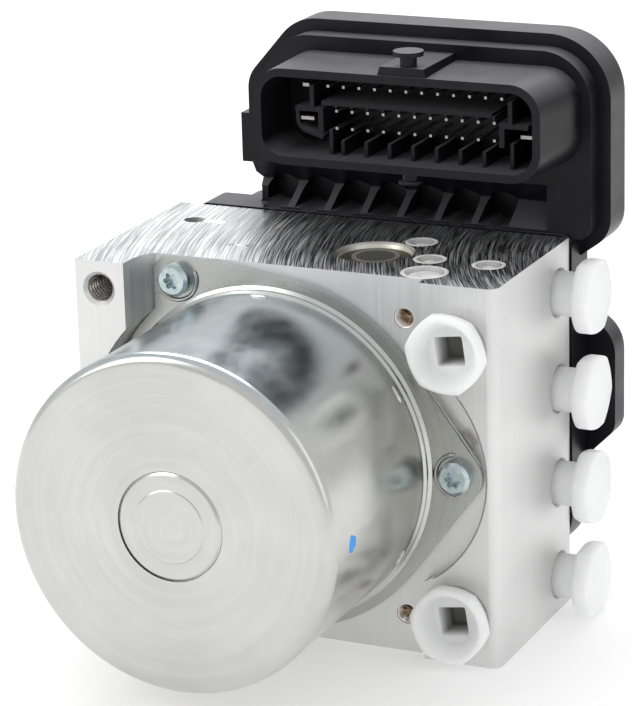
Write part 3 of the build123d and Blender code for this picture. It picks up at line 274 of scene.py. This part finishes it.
def black_moulding():
    """Glass filled black plastic: fine grain, soft sheen and a faint flow pattern; faces that look
    upward are painted lighter, a painted highlight.
    """
    r = Recipe("black_moulding", (0.010, 0.010, 0.011), 0.42)
    grain = r.noise(r.mapped(), 2600.0, 3.0)
    flow = r.noise(r.mapped(scale=(1, 1, 1.6)), 90.0, 4.0, 0.6)
    normal = r.facing()
    # Painted highlight: faces that look upward are painted a lighter grey.
    up = r.spread(normal["Z"], 0.3, 0.95, smooth=True)
    base = r.blend(r.spread(flow, 0.3, 0.7), (0.0050, 0.0047, 0.0062), (0.0100, 0.0093, 0.0118))
    r.colour(r.blend(r.times(up, 0.7), base, (0.150, 0.146, 0.156)))
    r.rough(r.spread(flow, 0.3, 0.7, 0.27, 0.38))
    r.skin.inputs["Specular IOR Level"].default_value = 0.20
    r.bump(r.plus(grain, r.times(flow, 0.4)), 0.20, 0.0001)
    return r.material


def white_moulding():
    """White polyethylene: smooth, waxy and slightly translucent, with painted shade, a dark colour,
    where its point attribute asks for it: deep in a drive's socket.
    """
    r = Recipe("white_moulding", (0.86, 0.87, 0.87), 0.38)
    soft = r.noise(r.mapped(), 130.0, 3.0)
    wax = r.blend(r.spread(soft, 0.3, 0.7), (0.87, 0.875, 0.88), (0.92, 0.92, 0.92))
    # Painted shade: the dark colour goes where the point attribute is high, deep in a drive's
    # socket.
    painted_shade = r.add("ShaderNodeAttribute", attribute_name="painted_shade").outputs["Fac"]
    r.colour(r.blend(painted_shade, wax, (0.15, 0.15, 0.12)))
    r.rough(r.spread(soft, 0.3, 0.7, 0.34, 0.48))
    r.skin.inputs["Subsurface Weight"].default_value = 0.8
    r.skin.inputs["Subsurface Radius"].default_value = (1.0, 1.0, 0.97)
    r.skin.inputs["Subsurface Scale"].default_value = 0.010
    r.bump(soft, 0.08, 0.0003)
    return r.material


def cut_thread():
    """Bright cut thread, with painted light: the crests, nearest the hole's axis, are painted
    lighter and the roots darker, a painted shade.
    """
    r = Recipe("cut_thread", (0.5, 0.48, 0.46), 0.22, 1.0)
    radius, _, _ = r.round_axis(BRACKET_X, BRACKET_Z)
    grain = r.noise(r.mapped(), 900.0, 2.0)
    # Painted shade in the thread's roots and painted highlight on its crests, by the distance from
    # the hole's axis.
    root = r.spread(radius, 3.05 * MM, 3.36 * MM)
    r.colour(r.blend(root, (0.85, 0.83, 0.81), (0.33, 0.30, 0.28)))
    r.rough(r.spread(grain, 0.3, 0.7, 0.18, 0.30))
    return r.material


def bowl_with_painted_light():
    """Bright cone left by a drill, with painted shade in brown on one side and the bright colour as
    a painted highlight.
    """
    r = Recipe("bowl_with_painted_light", (0.8, 0.76, 0.72), 0.2, 1.0)
    painted_bowl_shade = r.add("ShaderNodeAttribute", attribute_name="painted_shade").outputs["Fac"]
    cloud = r.noise(r.mapped(), 900.0, 2.0)
    brown = r.blend(r.spread(cloud, 0.35, 0.65), (0.13, 0.085, 0.05), (0.34, 0.25, 0.17))
    # Painted light: brown painted shade where the point attribute is high, the bright colour a
    # painted highlight elsewhere.
    r.colour(r.blend(painted_bowl_shade, (0.88, 0.83, 0.80), brown))
    r.rough(r.spread(cloud, 0.3, 0.7, 0.14, 0.26))
    return r.material


def blue_paint():
    """Dab of blue marking paint."""
    r = Recipe("blue_paint", (0.01, 0.28, 0.80), 0.35)
    cloud = r.spread(r.noise(r.mapped(), 1500.0), 0.35, 0.65)
    r.colour(r.blend(cloud, (0.0, 0.20, 0.70), (0.02, 0.36, 0.95)))
    return r.material


def stepped_cap():
    """Damper's cap: bronze grey, with painted shade in its valley and painted highlights on its
    edges, by the distance from its axis."""
    r = Recipe("dark_alloy", (0.45, 0.43, 0.38), 0.42, 0.85)
    place = r.split(r.coords)
    low, high = (Vector(c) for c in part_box("damper_cap"))
    from_axis = r.distance(r.minus(place["X"], (low.x + high.x) / 2),
                           r.minus(place["Y"], (low.y + high.y) / 2))
    # Painted light by the distance from the axis: highlights on the edges, shade in the valley.
    disc_edge = r.spread(from_axis, 4.5 * MM, 4.8 * MM)
    painted_valley_shade = r.spread(from_axis, 5.6 * MM, 5.8 * MM)
    rim = r.spread(from_axis, 8.3 * MM, 8.6 * MM)
    tone = r.blend(disc_edge, (0.36, 0.36, 0.31), (0.80, 0.79, 0.74))
    tone = r.blend(painted_valley_shade, tone, (0.22, 0.20, 0.15))
    r.colour(r.blend(rim, tone, (0.62, 0.60, 0.53)))
    r.bump(r.noise(r.mapped(), 800.0, 2.0), 0.12, 0.00006)
    return r.material


aluminium = milled_aluminium()
steel_spun = plated_steel("spun_steel", 0.98, (0.19, 0.27))
steel_drawn = plated_steel("drawn_steel", 0.71, (0.22, 0.36))
zinc_screw = machined("zinc_screw", (0.50, 0.58, 0.60), 0.26, 700.0)
ground_steel = machined("ground_steel", (0.62, 0.62, 0.63), 0.2, 1500.0)
spring_wire = machined("spring_wire", (0.40, 0.40, 0.41), 0.32, 1200.0)
turned_aluminium = machined("turned_aluminium", (0.74, 0.74, 0.74), 0.3, 1200.0)
dark_alloy = stepped_cap()
tin = machined("tin_plate", (0.36, 0.355, 0.34), 0.36, 1400.0)
copper = machined("enamelled_copper", (0.72, 0.33, 0.16), 0.34, 1600.0)
graphite = machined("pressed_graphite", (0.035, 0.035, 0.037), 0.6, 1800.0, 0.2)
ferrite = machined("sintered_ferrite", (0.07, 0.07, 0.075), 0.62, 1500.0, 0.0)
bronze = machined("porous_bronze", (0.55, 0.38, 0.20), 0.45, 2400.0)
rubber = machined("seal_rubber", (0.02, 0.02, 0.02), 0.7, 1500.0, 0.0)
lacquer = machined("lacquered_board", (0.02, 0.13, 0.06), 0.3, 700.0, 0.0)
# Dark grey for small marks, also used as painted shade along the pocket's edge and in the foot's
# slit.
dark_marks_and_painted_shade = machined("dark_grey_marks_and_painted_shade", (0.30, 0.29, 0.28), 0.35, 900.0)
pressed_bowl = bowl_with_painted_light()
black = black_moulding()
white = white_moulding()
paint = blue_paint()
threaded = cut_thread()
peened = machined("peened_aluminium", (0.95, 0.95, 0.94), 0.55, 420.0, 0.2)
bright_cut = machined("bright_cut_steel", (0.88, 0.88, 0.87), 0.35, 900.0, 0.8)

FINISHES = (
    (aluminium, "hydraulic_block"),
    (steel_spun, "motor_can motor_nose_cap"),
    (steel_drawn, "motor_flange"),
    (zinc_screw, "motor_screws ecu_screws"),
    (turned_aluminium, "accumulator_caps pump_plug accumulator_piston_left "
                       "accumulator_piston_right"),
    (peened, "sealing_balls large_port_plug"),
    (dark_alloy, "damper_cap"),
    (ground_steel, "rotor_shaft armature_core bearing_outer_ring bearing_inner_ring bearing_balls "
                   "eccentric_ring pump_piston_upper pump_piston_lower inlet_valves outlet_valves "
                   "isolation_valves supply_valves pressure_sensor caulked_plugs"),
    (spring_wire, "brush_springs pump_spring_upper pump_spring_lower accumulator_spring_left "
                  "accumulator_spring_right"),
    (black, "ecu_housing ecu_cover brush_holder"),
    (white, "front_port_plug_upper front_port_plug_lower side_port_plug_1 side_port_plug_2 "
            "side_port_plug_3 side_port_plug_4"),
    (tin, "signal_pins power_blades motor_terminals"),
    (copper, "armature_windings commutator valve_coils"),
    (graphite, "carbon_brushes"),
    (ferrite, "motor_magnets"),
    (bronze, "front_bush"),
    (rubber, "ecu_gasket"),
    (lacquer, "circuit_board"),
)
for material, names in FINISHES:
    for name in names.split():
        mesh = nodes[name].data
        if len(mesh.materials):
            mesh.materials[0] = material
        else:
            mesh.materials.append(material)


# ---------------------------------------------------------------- surfaces
def grid_quads(rows, columns):
    """Quads between neighbours of a grid whose points are numbered row by row, and whose last
    column joins the first."""
    r, c = np.meshgrid(np.arange(rows - 1), np.arange(columns), indexing="ij")
    beside = (c + 1) % columns
    here, there = r * columns, (r + 1) * columns
    return np.stack([here + c, here + beside, there + beside, there + c], axis=-1).reshape(-1, 4)


def piece(name, points, faces, material, replaced=(), shade=None):
    """Closed mesh at the origin, with outward normals, finish and body. The CAD nodes named
    in replaced give way to it, and shade is its attribute for the materials, point by point."""
    mesh = bpy.data.meshes.new(name)
    mesh.from_pydata(points.tolist(), [], faces)
    work = bmesh.new()
    work.from_mesh(mesh)
    bmesh.ops.recalc_face_normals(work, faces=work.faces)
    work.to_mesh(mesh)
    work.free()
    mesh.polygons.foreach_set("use_smooth", np.ones(len(mesh.polygons), dtype=bool))
    # Point attribute carrying painted shade, read by the materials.
    if shade is not None:
        painted_shade = mesh.attributes.new("painted_shade", "FLOAT", "POINT")
        painted_shade.data.foreach_set("value", shade.astype(np.float32))
    mesh.materials.append(material)
    mesh.update()
    thing = bpy.data.objects.new(name, mesh)
    bpy.context.scene.collection.objects.link(thing)
    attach(thing, ROOT)
    if replaced:
        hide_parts(*replaced)
    return thing


def joined(parts):
    """Several (points, faces) as one, with the faces renumbered."""
    points, faces, start = [], [], 0
    for part_points, part_faces in parts:
        points.append(part_points)
        faces.extend([[i + start for i in face] for face in part_faces])
        start += len(part_points)
    return np.concatenate(points), faces


def lathe(centre, axis, side, heights, radii):
    """Closed turned shape. Row v, column u lies at centre + height(v) * axis + radius(v, u) *
    (cos u * side + sin u * (axis x side)); the first and last rows are closed on the axis."""
    axis, side = np.array(axis, float), np.array(side, float)
    other = np.cross(axis, side)
    rows, columns = radii.shape
    u = np.linspace(0, 2 * np.pi, columns, endpoint=False)
    around = np.cos(u)[:, None] * side + np.sin(u)[:, None] * other
    points = np.array(centre) + heights[:, None, None] * axis + radii[:, :, None] * around[None]
    points = points.reshape(-1, 3)
    poles = np.array(centre) + heights[[0, -1], None] * axis
    points = np.concatenate([points, poles])
    near, far = rows * columns, rows * columns + 1
    column = np.arange(columns)
    beside = (column + 1) % columns
    last = (rows - 1) * columns
    start_fan = np.stack([np.full(columns, near), beside, column], axis=-1)
    end_fan = np.stack([np.full(columns, far), last + column, last + beside], axis=-1)
    return points, grid_quads(rows, columns).tolist() + start_fan.tolist() + end_fan.tolist()


def round_rows(pairs, columns):
    """Heights and radii of a turned shape that is round in every row, from (height, radius) in
    mm."""
    table = np.array(pairs, float) * MM
    return table[:, 0], np.repeat(table[:, 1:2], columns, axis=1)


def joined_ends(rows, columns):
    """Quads that join a grid's last row to its first."""
    c = np.arange(columns)
    beside, last = (c + 1) % columns, (rows - 1) * columns
    return np.stack([last + c, last + beside, beside, c], axis=-1).tolist()


def swept(path, across, upward, width, height, closed=False):
    """Low rounded ridge carried along a path: at each path point the section runs from t = -1 to 1
    across it and rises by height * sqrt(1 - t squared); the underside closes it flat. An open path
    tapers over its three end points, by the square root of the share of the way."""
    t = np.linspace(-1, 1, 9)
    rise = np.sqrt(np.maximum(0.0, 1 - t * t))
    step = np.arange(len(path))
    ends = np.clip(np.minimum(step, step[::-1]) / 3.0, 0.02, 1.0) ** 0.5
    taper = (np.ones(len(path)) if closed else ends)[:, None, None]
    top = (path[:, None] + across[:, None] * (t[None, :, None] * width / 2 * taper)
           + upward[:, None] * (rise[None, :, None] * height * taper))
    back = t[::-1][1:-1]
    under = (path[:, None] + across[:, None] * (back[None, :, None] * width / 2 * taper)
             - upward[:, None] * (UNDERSIDE * np.ones((1, len(back), 1))))
    ring = np.concatenate([top, under], axis=1)
    rows, columns = ring.shape[:2]
    faces = grid_quads(rows, columns).tolist()
    faces += joined_ends(rows, columns) if closed else [
        list(range(columns)), [(rows - 1) * columns + c for c in reversed(range(columns))]]
    return ring.reshape(-1, 3), faces


def bulged_hexagon(columns, across, turn):
    """Outline of a plug's head: half the width across the sides over cos(a) to the power 0.42,
    where a is the angle from the middle of the nearest side. Power 1 would be a hexagon, power 0
    a circle."""
    u = np.linspace(0, 2 * np.pi, columns, endpoint=False)
    a = np.mod(u - math.radians(turn), math.pi / 3) - math.pi / 6
    return across * MM / 2 * np.cos(a) ** -0.42


def rounded_square(columns, half, turn):
    """Outline of a square drive: half / (|cos|^14 + |sin|^14)^(1/14)."""
    u = np.linspace(0, 2 * np.pi, columns, endpoint=False) - math.radians(turn)
    return half * MM * (np.abs(np.cos(u)) ** 14 + np.abs(np.sin(u)) ** 14) ** (-1 / 14)


def bowl(centre, axis, side, rows, columns):
    """Turned shape that is round in every row, from (height, radius) in mm."""
    return lathe(centre, axis, side, *round_rows(rows, columns))


# ---------------------------------------------------------------- transport plugs
PLUG_COLUMNS = 144


def even(radius):
    """One radius, in mm, all the way round a plug."""
    return np.full(PLUG_COLUMNS, radius * MM)


# The threaded end of either plug, which stays in its port.
PORT_END = [(-9.0, even(4.7)), (-8.4, even(5.38))]


def plug(name, place, axis, side, table, painted_shade):
    """Turned plug from rows of (height above the block in mm, radii); the last argument is each
    row's share of painted shade, the dark colour painted deep in a drive's socket."""
    heights = np.array([row[0] for row in table]) * MM
    points, faces = lathe(place, axis, side, heights, np.stack([row[1] for row in table]))
    shade = np.concatenate([np.repeat(painted_shade, PLUG_COLUMNS), painted_shade[[0, -1]]])
    piece(name + "_dressed", points, faces, white, (name,), shade)


def front_plug(name, place, turn):
    """Plug with a funnel in its head and a square drive at the funnel's floor: a turned shape whose
    outline is a circle at the neck and the funnel, a bulged hexagon at the head and a rounded
    square in the drive."""
    neck, head = even(7.6), bulged_hexagon(PLUG_COLUMNS, 18.1, turn)

    def drive(half):
        return rounded_square(PLUG_COLUMNS, half, 8)

    table = PORT_END + [
        (0.02, even(5.38)), (0.02, neck - 0.1 * MM), (0.1, neck), (3.1, neck),
        (3.2, neck + 0.1 * MM), (3.2, head - 0.5 * MM), (3.3, head - 0.15 * MM), (3.6, head),
        (6.3, head), (6.7, head - 0.12 * MM), (6.9, head - 0.35 * MM), (7.0, head - 0.7 * MM),
        (7.0, even(8.1)), (6.9, even(7.9)), (6.6, even(7.7)), (5.2, even(6.9)), (3.6, even(6.0)),
        (3.15, even(5.6)), (2.95, even(5.1)), (2.9, drive(3.7)), (2.8, drive(3.5)),
        (2.4, drive(3.4)), (0.4, drive(3.36)), (-1.5, drive(3.3)), (-4.3, drive(3.2)),
        (-4.4, drive(3.0))]
    # Painted shade: the drive's walls darken with depth and are fully dark at its floor.
    painted_shade = np.zeros(len(table))
    painted_shade[-5:] = (0.0, 0.12, 0.55, 1.0, 1.0)
    plug(name, place, (0, -1, 0), (1, 0, 0), table, painted_shade)


def side_plug(name, place, turn):
    """Plug with a plain head, rounded behind and slightly dished in front: a turned shape whose
    outline is a circle at the neck and a bulged hexagon at the head."""
    head = bulged_hexagon(PLUG_COLUMNS, 17.7, turn)
    table = PORT_END + [
        (4.9, even(5.38)), (5.1, even(5.5)), (5.25, even(5.9)), (5.4, head - 1.8 * MM),
        (5.7, head - 0.9 * MM), (6.2, head - 0.3 * MM), (6.9, head), (9.4, head),
        (9.8, head - 0.1 * MM), (10.05, head - 0.3 * MM), (10.15, head - 0.6 * MM),
        (10.15, head - 0.9 * MM), (9.95, head - 1.3 * MM), (9.9, head - 2.0 * MM), (9.9, even(2.0))]
    plug(name, place, (1, 0, 0), (0, 1, 0), table, np.zeros(len(table)))


for name in ("front_port_plug_upper", "front_port_plug_lower"):
    low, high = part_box(name)
    front_plug(name, ((low[0] + high[0]) / 2, low[1] + 7.4 * MM, (low[2] + high[2]) / 2), 52)
for number, turn in enumerate((54, 52, 42, 0), 1):
    name = f"side_port_plug_{number}"
    low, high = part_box(name)
    side_plug(name, (BLOCK_RIGHT, (low[1] + high[1]) / 2, (low[2] + high[2]) / 2), turn)


# ---------------------------------------------------------------- holes, marks and small fittings
def bracket_thread():
    """Female thread in the bracket hole: the inner wall stands off the bore by 0.32 mm times a
    triangle wave of (turns along the axis - angle / 2 pi); the outer wall lies on the bore."""
    columns, rows, pitch = 72, 121, 1.25 * MM
    root, wall, crest_height = 3.36 * MM, 3.385 * MM, 0.32 * MM
    y = np.linspace(BOSS_FRONT_Y + 0.9 * MM, BOSS_FRONT_Y + 13.4 * MM, rows)
    u = np.linspace(0, 2 * np.pi, columns, endpoint=False)
    phase = np.mod(y[:, None] / pitch - u[None] / (2 * np.pi), 1.0)
    inner = root - crest_height * (1 - np.abs(2 * phase - 1))
    inner[0] = inner[-1] = root
    outer = np.full((1, columns), wall)
    radii = np.concatenate([outer, inner, outer])
    depth = np.concatenate([y[:1], y, y[-1:]])
    ring = np.stack([BRACKET_X + radii * np.cos(u), np.repeat(depth[:, None], columns, axis=1),
                     BRACKET_Z + radii * np.sin(u)], axis=-1)
    rows = len(depth)
    faces = grid_quads(rows, columns).tolist() + joined_ends(rows, columns)
    piece("bracket_thread", ring.reshape(-1, 3), faces, threaded)


def caulked_bowls():
    """Two pressed plugs with a cone left by a drill, turned about the motor's direction. A painted
    highlight lies in a sector and a spot of their angle, and painted shade in brown elsewhere."""
    columns, plug_reach = 64, 2.48 * MM
    rim = [(-2.98, 2.0), (-2.98, 2.48), (-0.3, 2.48), (-0.25, 2.3), (-0.5, 2.15)]
    cone = [(-1.6, 1.2), (-2.5, 0.42), (-2.65, 0.15)]
    low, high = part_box("caulked_plugs")
    places = ((high[0] - plug_reach, high[2] - plug_reach),
              (high[0] - plug_reach - 0.7 * MM, low[2] + plug_reach))
    points, faces = joined([
        bowl((x, FLOOR_Y, z), (0, -1, 0), (1, 0, 0), rim + cone, columns) for x, z in places])
    u = np.degrees(np.linspace(0, 2 * np.pi, columns, endpoint=False))
    whole_turn = 360 * (u > 180)
    # Painted highlight in a sector and a spot of the angle; painted shade everywhere else.
    painted_highlight_sector = np.clip(np.minimum(u + 75 - whole_turn, 25 - u + whole_turn) / 10, 0, 1)
    painted_highlight_spot = np.clip((14 - np.abs(u - 125)) / 8, 0, 1)
    painted_bowl_shade = 1 - np.maximum(painted_highlight_sector, painted_highlight_spot)
    one_bowl = np.concatenate([np.zeros(len(rim) * columns), np.tile(painted_bowl_shade, len(cone)), [1.0, 1.0]])
    piece("caulked_bowls", points, faces, pressed_bowl, ("caulked_plugs",),
          np.tile(one_bowl, 2))


def arc(middle, radius, angles, y):
    """Points on a circle that faces along Y, and the outward direction at each."""
    radial = np.stack([np.cos(angles), 0 * angles, np.sin(angles)], axis=-1)
    return np.array([middle[0], y, middle[1]]) + radial * radius, radial


def along(direction, count):
    """The same direction at every point of a path."""
    return np.tile(np.array(direction, float), (count, 1))


def straight(start, end, count):
    """Even points from start to end, and the unit direction from one to the other."""
    start, end = np.array(start, float), np.array(end, float)
    share = np.linspace(0, 1, count)[:, None]
    way = (end - start) / np.linalg.norm(end - start)
    return start * (1 - share) + end * share, way


def punched_marks():
    """Six short bright windows where the can is punched onto its foot: ridges that follow the can's
    circle over 6.4 degrees, 60 degrees apart."""
    marks, edges = [], []
    for middle in np.radians(np.arange(-90, 270, 60)):
        u = middle + np.radians(np.linspace(-3.2, 3.2, 13))
        path, radial = arc((MOTOR_X, MOTOR_Z), 39.92 * MM, u, -27.3 * MM)
        rearward = along((0, 1, 0), len(u))
        marks.append(swept(path, rearward, radial, 1.0 * MM, 0.34 * MM))
        edges.append(swept(path + rearward * 0.35 * MM, rearward, radial, 1.5 * MM, 0.16 * MM))
    points, faces = joined(marks)
    piece("can_foot_marks", points, faces, bright_cut)
    points, faces = joined(edges)
    piece("can_foot_mark_edges", points, faces, dark_marks_and_painted_shade)


def ear_beads():
    """Half rings pressed in the foot round its three screws, on the can's side: ridges on an arc of
    5.25 mm radius and 176 degrees."""
    beads = []
    for spoke in np.radians((0.0, 120.0, 240.0)):
        middle = (MOTOR_X + EAR_CIRCLE * math.cos(spoke), MOTOR_Z + EAR_CIRCLE * math.sin(spoke))
        u = spoke + np.pi + np.radians(np.linspace(-88, 88, 41))
        path, radial = arc(middle, 5.25 * MM, u, FLANGE_FRONT)
        beads.append(swept(path, radial, along((0, -1, 0), len(u)), 1.1 * MM, 0.7 * MM))
    points, faces = joined(beads)
    piece("ear_beads", points, faces, steel_drawn)


def staked_rings():
    """Peened collar round each sealing ball and the large plug: a closed ridge on a circle."""
    columns, collars = 64, []
    u = np.linspace(0, 2 * np.pi, columns, endpoint=False)
    radial = np.stack([np.cos(u), np.sin(u), 0 * u], axis=-1)
    places = ((19.92, 8.84, 3.5), (27.58, -4.44, 3.5), (42.35, -4.7, 3.5), (30.71, -15.18, 5.1))
    for x, y, radius in places:
        path = np.array([x * MM, y * MM, BLOCK_TOP]) + radial * radius * MM
        collars.append(swept(path, radial, along((0, 0, 1), columns), 0.95 * MM, 0.09 * MM,
                             closed=True))
    points, faces = joined(collars)
    piece("staked_collars", points, faces, peened)


def bright_scar(name, start, end, width):
    """Flat bright mark left on the top face by a tool: a very low ridge along a straight path."""
    start, end = ((x * MM, y * MM, BLOCK_TOP) for x, y in (start, end))
    path, way = straight(start, end, 15)
    points, faces = swept(path, along((-way[1], way[0], 0), 15), along((0, 0, 1), 15), width * MM,
                          0.06 * MM)
    piece(name, points, faces, peened)


def paint_dab():
    """Dab of marking paint on the can's side: a low dome whose outline is an ellipse with a wobble,
    radius = 1 / sqrt((cos u / 2.0)^2 + (sin u / 1.8)^2) * (1 + 0.12 sin 3u + 0.07 sin 5u)."""
    radial = Vector((33.85 * MM - MOTOR_X, 0, 43.94 * MM - MOTOR_Z)).normalized()
    u = np.linspace(0, 2 * np.pi, 48, endpoint=False)
    ellipse = ((np.cos(u) / 2.0) ** 2 + (np.sin(u) / 1.8) ** 2) ** -0.5
    outline = ellipse * (1 + 0.12 * np.sin(3 * u) + 0.07 * np.sin(5 * u))
    share = np.array([0.9, 1.0, 1.0, 0.93, 0.7, 0.4, 0.12])
    heights = np.array([-0.2, -0.19, 0.0, 0.05, 0.09, 0.11, 0.12]) * MM
    centre = np.array([MOTOR_X, -65.46 * MM, MOTOR_Z]) + np.array(radial) * 39.9 * MM
    points, faces = lathe(centre, radial, (0, 0, 1), heights, share[:, None] * outline[None] * MM)
    piece("paint_dab", points, faces, paint)


def ear_line(name, start, end, count, width, height, material):
    """Low straight ridge on the foot's front face, between two points given as (x, z) in mm."""
    start, end = ((x * MM, FLANGE_FRONT, z * MM) for x, z in (start, end))
    path, way = straight(start, end, count)
    points, faces = swept(path, along((-way[2], 0, way[0]), count), along((0, -1, 0), count),
                          width * MM, height * MM)
    piece(name, points, faces, material)


def pocket_edge():
    """Painted shade along the edge of the block's pocket: a low dark ridge just outside the
    pocket's circle, which is 30.4 mm in radius and whose middle lies 24.3 mm right of the motor's
    axis."""
    u = np.radians(np.linspace(-57, 41, 81))
    path, radial = arc((MOTOR_X + 24.3 * MM, MOTOR_Z), 30.65 * MM, u, FRONT_Y)
    points, faces = swept(path, radial, along((0, -1, 0), len(u)), 0.4 * MM, 0.04 * MM)
    piece("pocket_edge_painted_shade", points, faces, dark_marks_and_painted_shade)


def punch_dots():
    """Three small dark dots beside the middle scar: low turned buttons."""
    rows = [(-0.2, 0.25), (-0.2, 0.36), (0.07, 0.34), (0.075, 0.1)]
    dots = [bowl((x * MM, y * MM, BLOCK_TOP), (0, 0, 1), (1, 0, 0), rows, 16)
            for x, y in ((-21.6, -8.1), (-18.0, -7.9), (-22.4, -8.4))]
    points, faces = joined(dots)
    piece("punch_dots", points, faces, dark_marks_and_painted_shade)


bracket_thread()
caulked_bowls()
ear_line("ear_bend_line", (33.4, 67.6), (47.2, 48.9), 31, 0.55, 0.22, steel_drawn)
# The slit is drawn as a dark ridge: painted shade where the slit lies.
ear_line("ear_slit_painted_shade", (42.3, 57.2), (45.6, 52.9), 17, 0.95, 0.12, dark_marks_and_painted_shade)
pocket_edge()
punched_marks()
ear_beads()
staked_rings()
bright_scar("stake_scar_left", (-38.2, 9.6), (-31.6, 9.6), 3.6)
bright_scar("stake_scar_middle", (-21.2, -8.0), (-18.6, -7.9), 1.3)
paint_dab()
punch_dots()


# ---------------------------------------------------------------- camera, floor and light
SENSOR = 36.0  # mm
FOCAL_LENGTH, FRAME_HEIGHT = 3233.21, 706.0  # both in rendered pixels
CAMERA_PLACE = Vector((0.309153, -0.672272, 0.295413))
FLOOR_HALF, FLOOR_DROP = 3.0, 0.0002

camera_data = bpy.data.cameras.new("camera")
camera_data.sensor_width = SENSOR
camera_data.lens = FOCAL_LENGTH * SENSOR / FRAME_HEIGHT
camera_data.clip_end = 20.0
camera = bpy.data.objects.new("camera", camera_data)
bpy.context.scene.collection.objects.link(camera)
turn, rise, roll = (math.radians(a) for a in (24.9304, 17.2992, -1.5435))
forward = Vector((-math.sin(turn) * math.cos(rise), math.cos(turn) * math.cos(rise),
                  -math.sin(rise)))
right = Vector((math.cos(turn), math.sin(turn), 0))
up = right.cross(forward)
columns = (math.cos(roll) * right + math.sin(roll) * up,
           -math.sin(roll) * right + math.cos(roll) * up, -forward, CAMERA_PLACE)
camera.matrix_world = Matrix([[column[i] for column in columns] for i in range(3)] + [[0, 0, 0, 1]])
bpy.context.scene.camera = camera

floor_z = cad_bounds[0][2] - FLOOR_DROP
ends = (-FLOOR_HALF, FLOOR_HALF)
floor_mesh = bpy.data.meshes.new("floor")
floor_mesh.from_pydata([(x, y, floor_z) for y in ends for x in ends], [], [(0, 2, 3, 1)])
floor = bpy.data.objects.new("floor", floor_mesh)
bpy.context.scene.collection.objects.link(floor)
floor_paint = Recipe("pale_floor", (0.60, 0.60, 0.60), 0.8)
floor_paint.skin.inputs["Emission Color"].default_value = (1.0, 1.0, 1.0, 1.0)
floor_paint.skin.inputs["Emission Strength"].default_value = 0.42
floor_paint.skin.inputs["Specular IOR Level"].default_value = 0.0
floor_mesh.materials.append(floor_paint.material)
floor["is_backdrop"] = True

world = bpy.data.worlds.new("studio")
world.use_nodes = True
world.node_tree.nodes["Background"].inputs["Color"].default_value = (1.0, 1.0, 1.0, 1.0)
world.node_tree.nodes["Background"].inputs["Strength"].default_value = 0.78
bpy.context.scene.world = world
bpy.context.scene.view_settings.view_transform = "Standard"


def soft_box(name, spot, aim, size, watts):
    """Rectangular studio light at spot, turned to aim."""
    light = bpy.data.lights.new(name, "AREA")
    light.shape = "RECTANGLE"
    light.size, light.size_y = size
    light.energy = watts
    lamp = bpy.data.objects.new(name, light)
    lamp.location = spot
    lamp.rotation_euler = (Vector(aim) - Vector(spot)).to_track_quat("-Z", "Y").to_euler()
    bpy.context.scene.collection.objects.link(lamp)


soft_box("key_left", (-0.7, -0.8, 0.7), (0, 0, 0.05), (0.6, 0.8), 4.0)
soft_box("fill_right", (1.0, -0.35, 0.45), (0, 0, 0.05), (0.5, 0.8), 0.8)
soft_box("top_light", (-0.25, 0.6, 1.0), (0, 0, 0.05), (1.0, 0.5), 8.2)

low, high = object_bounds()
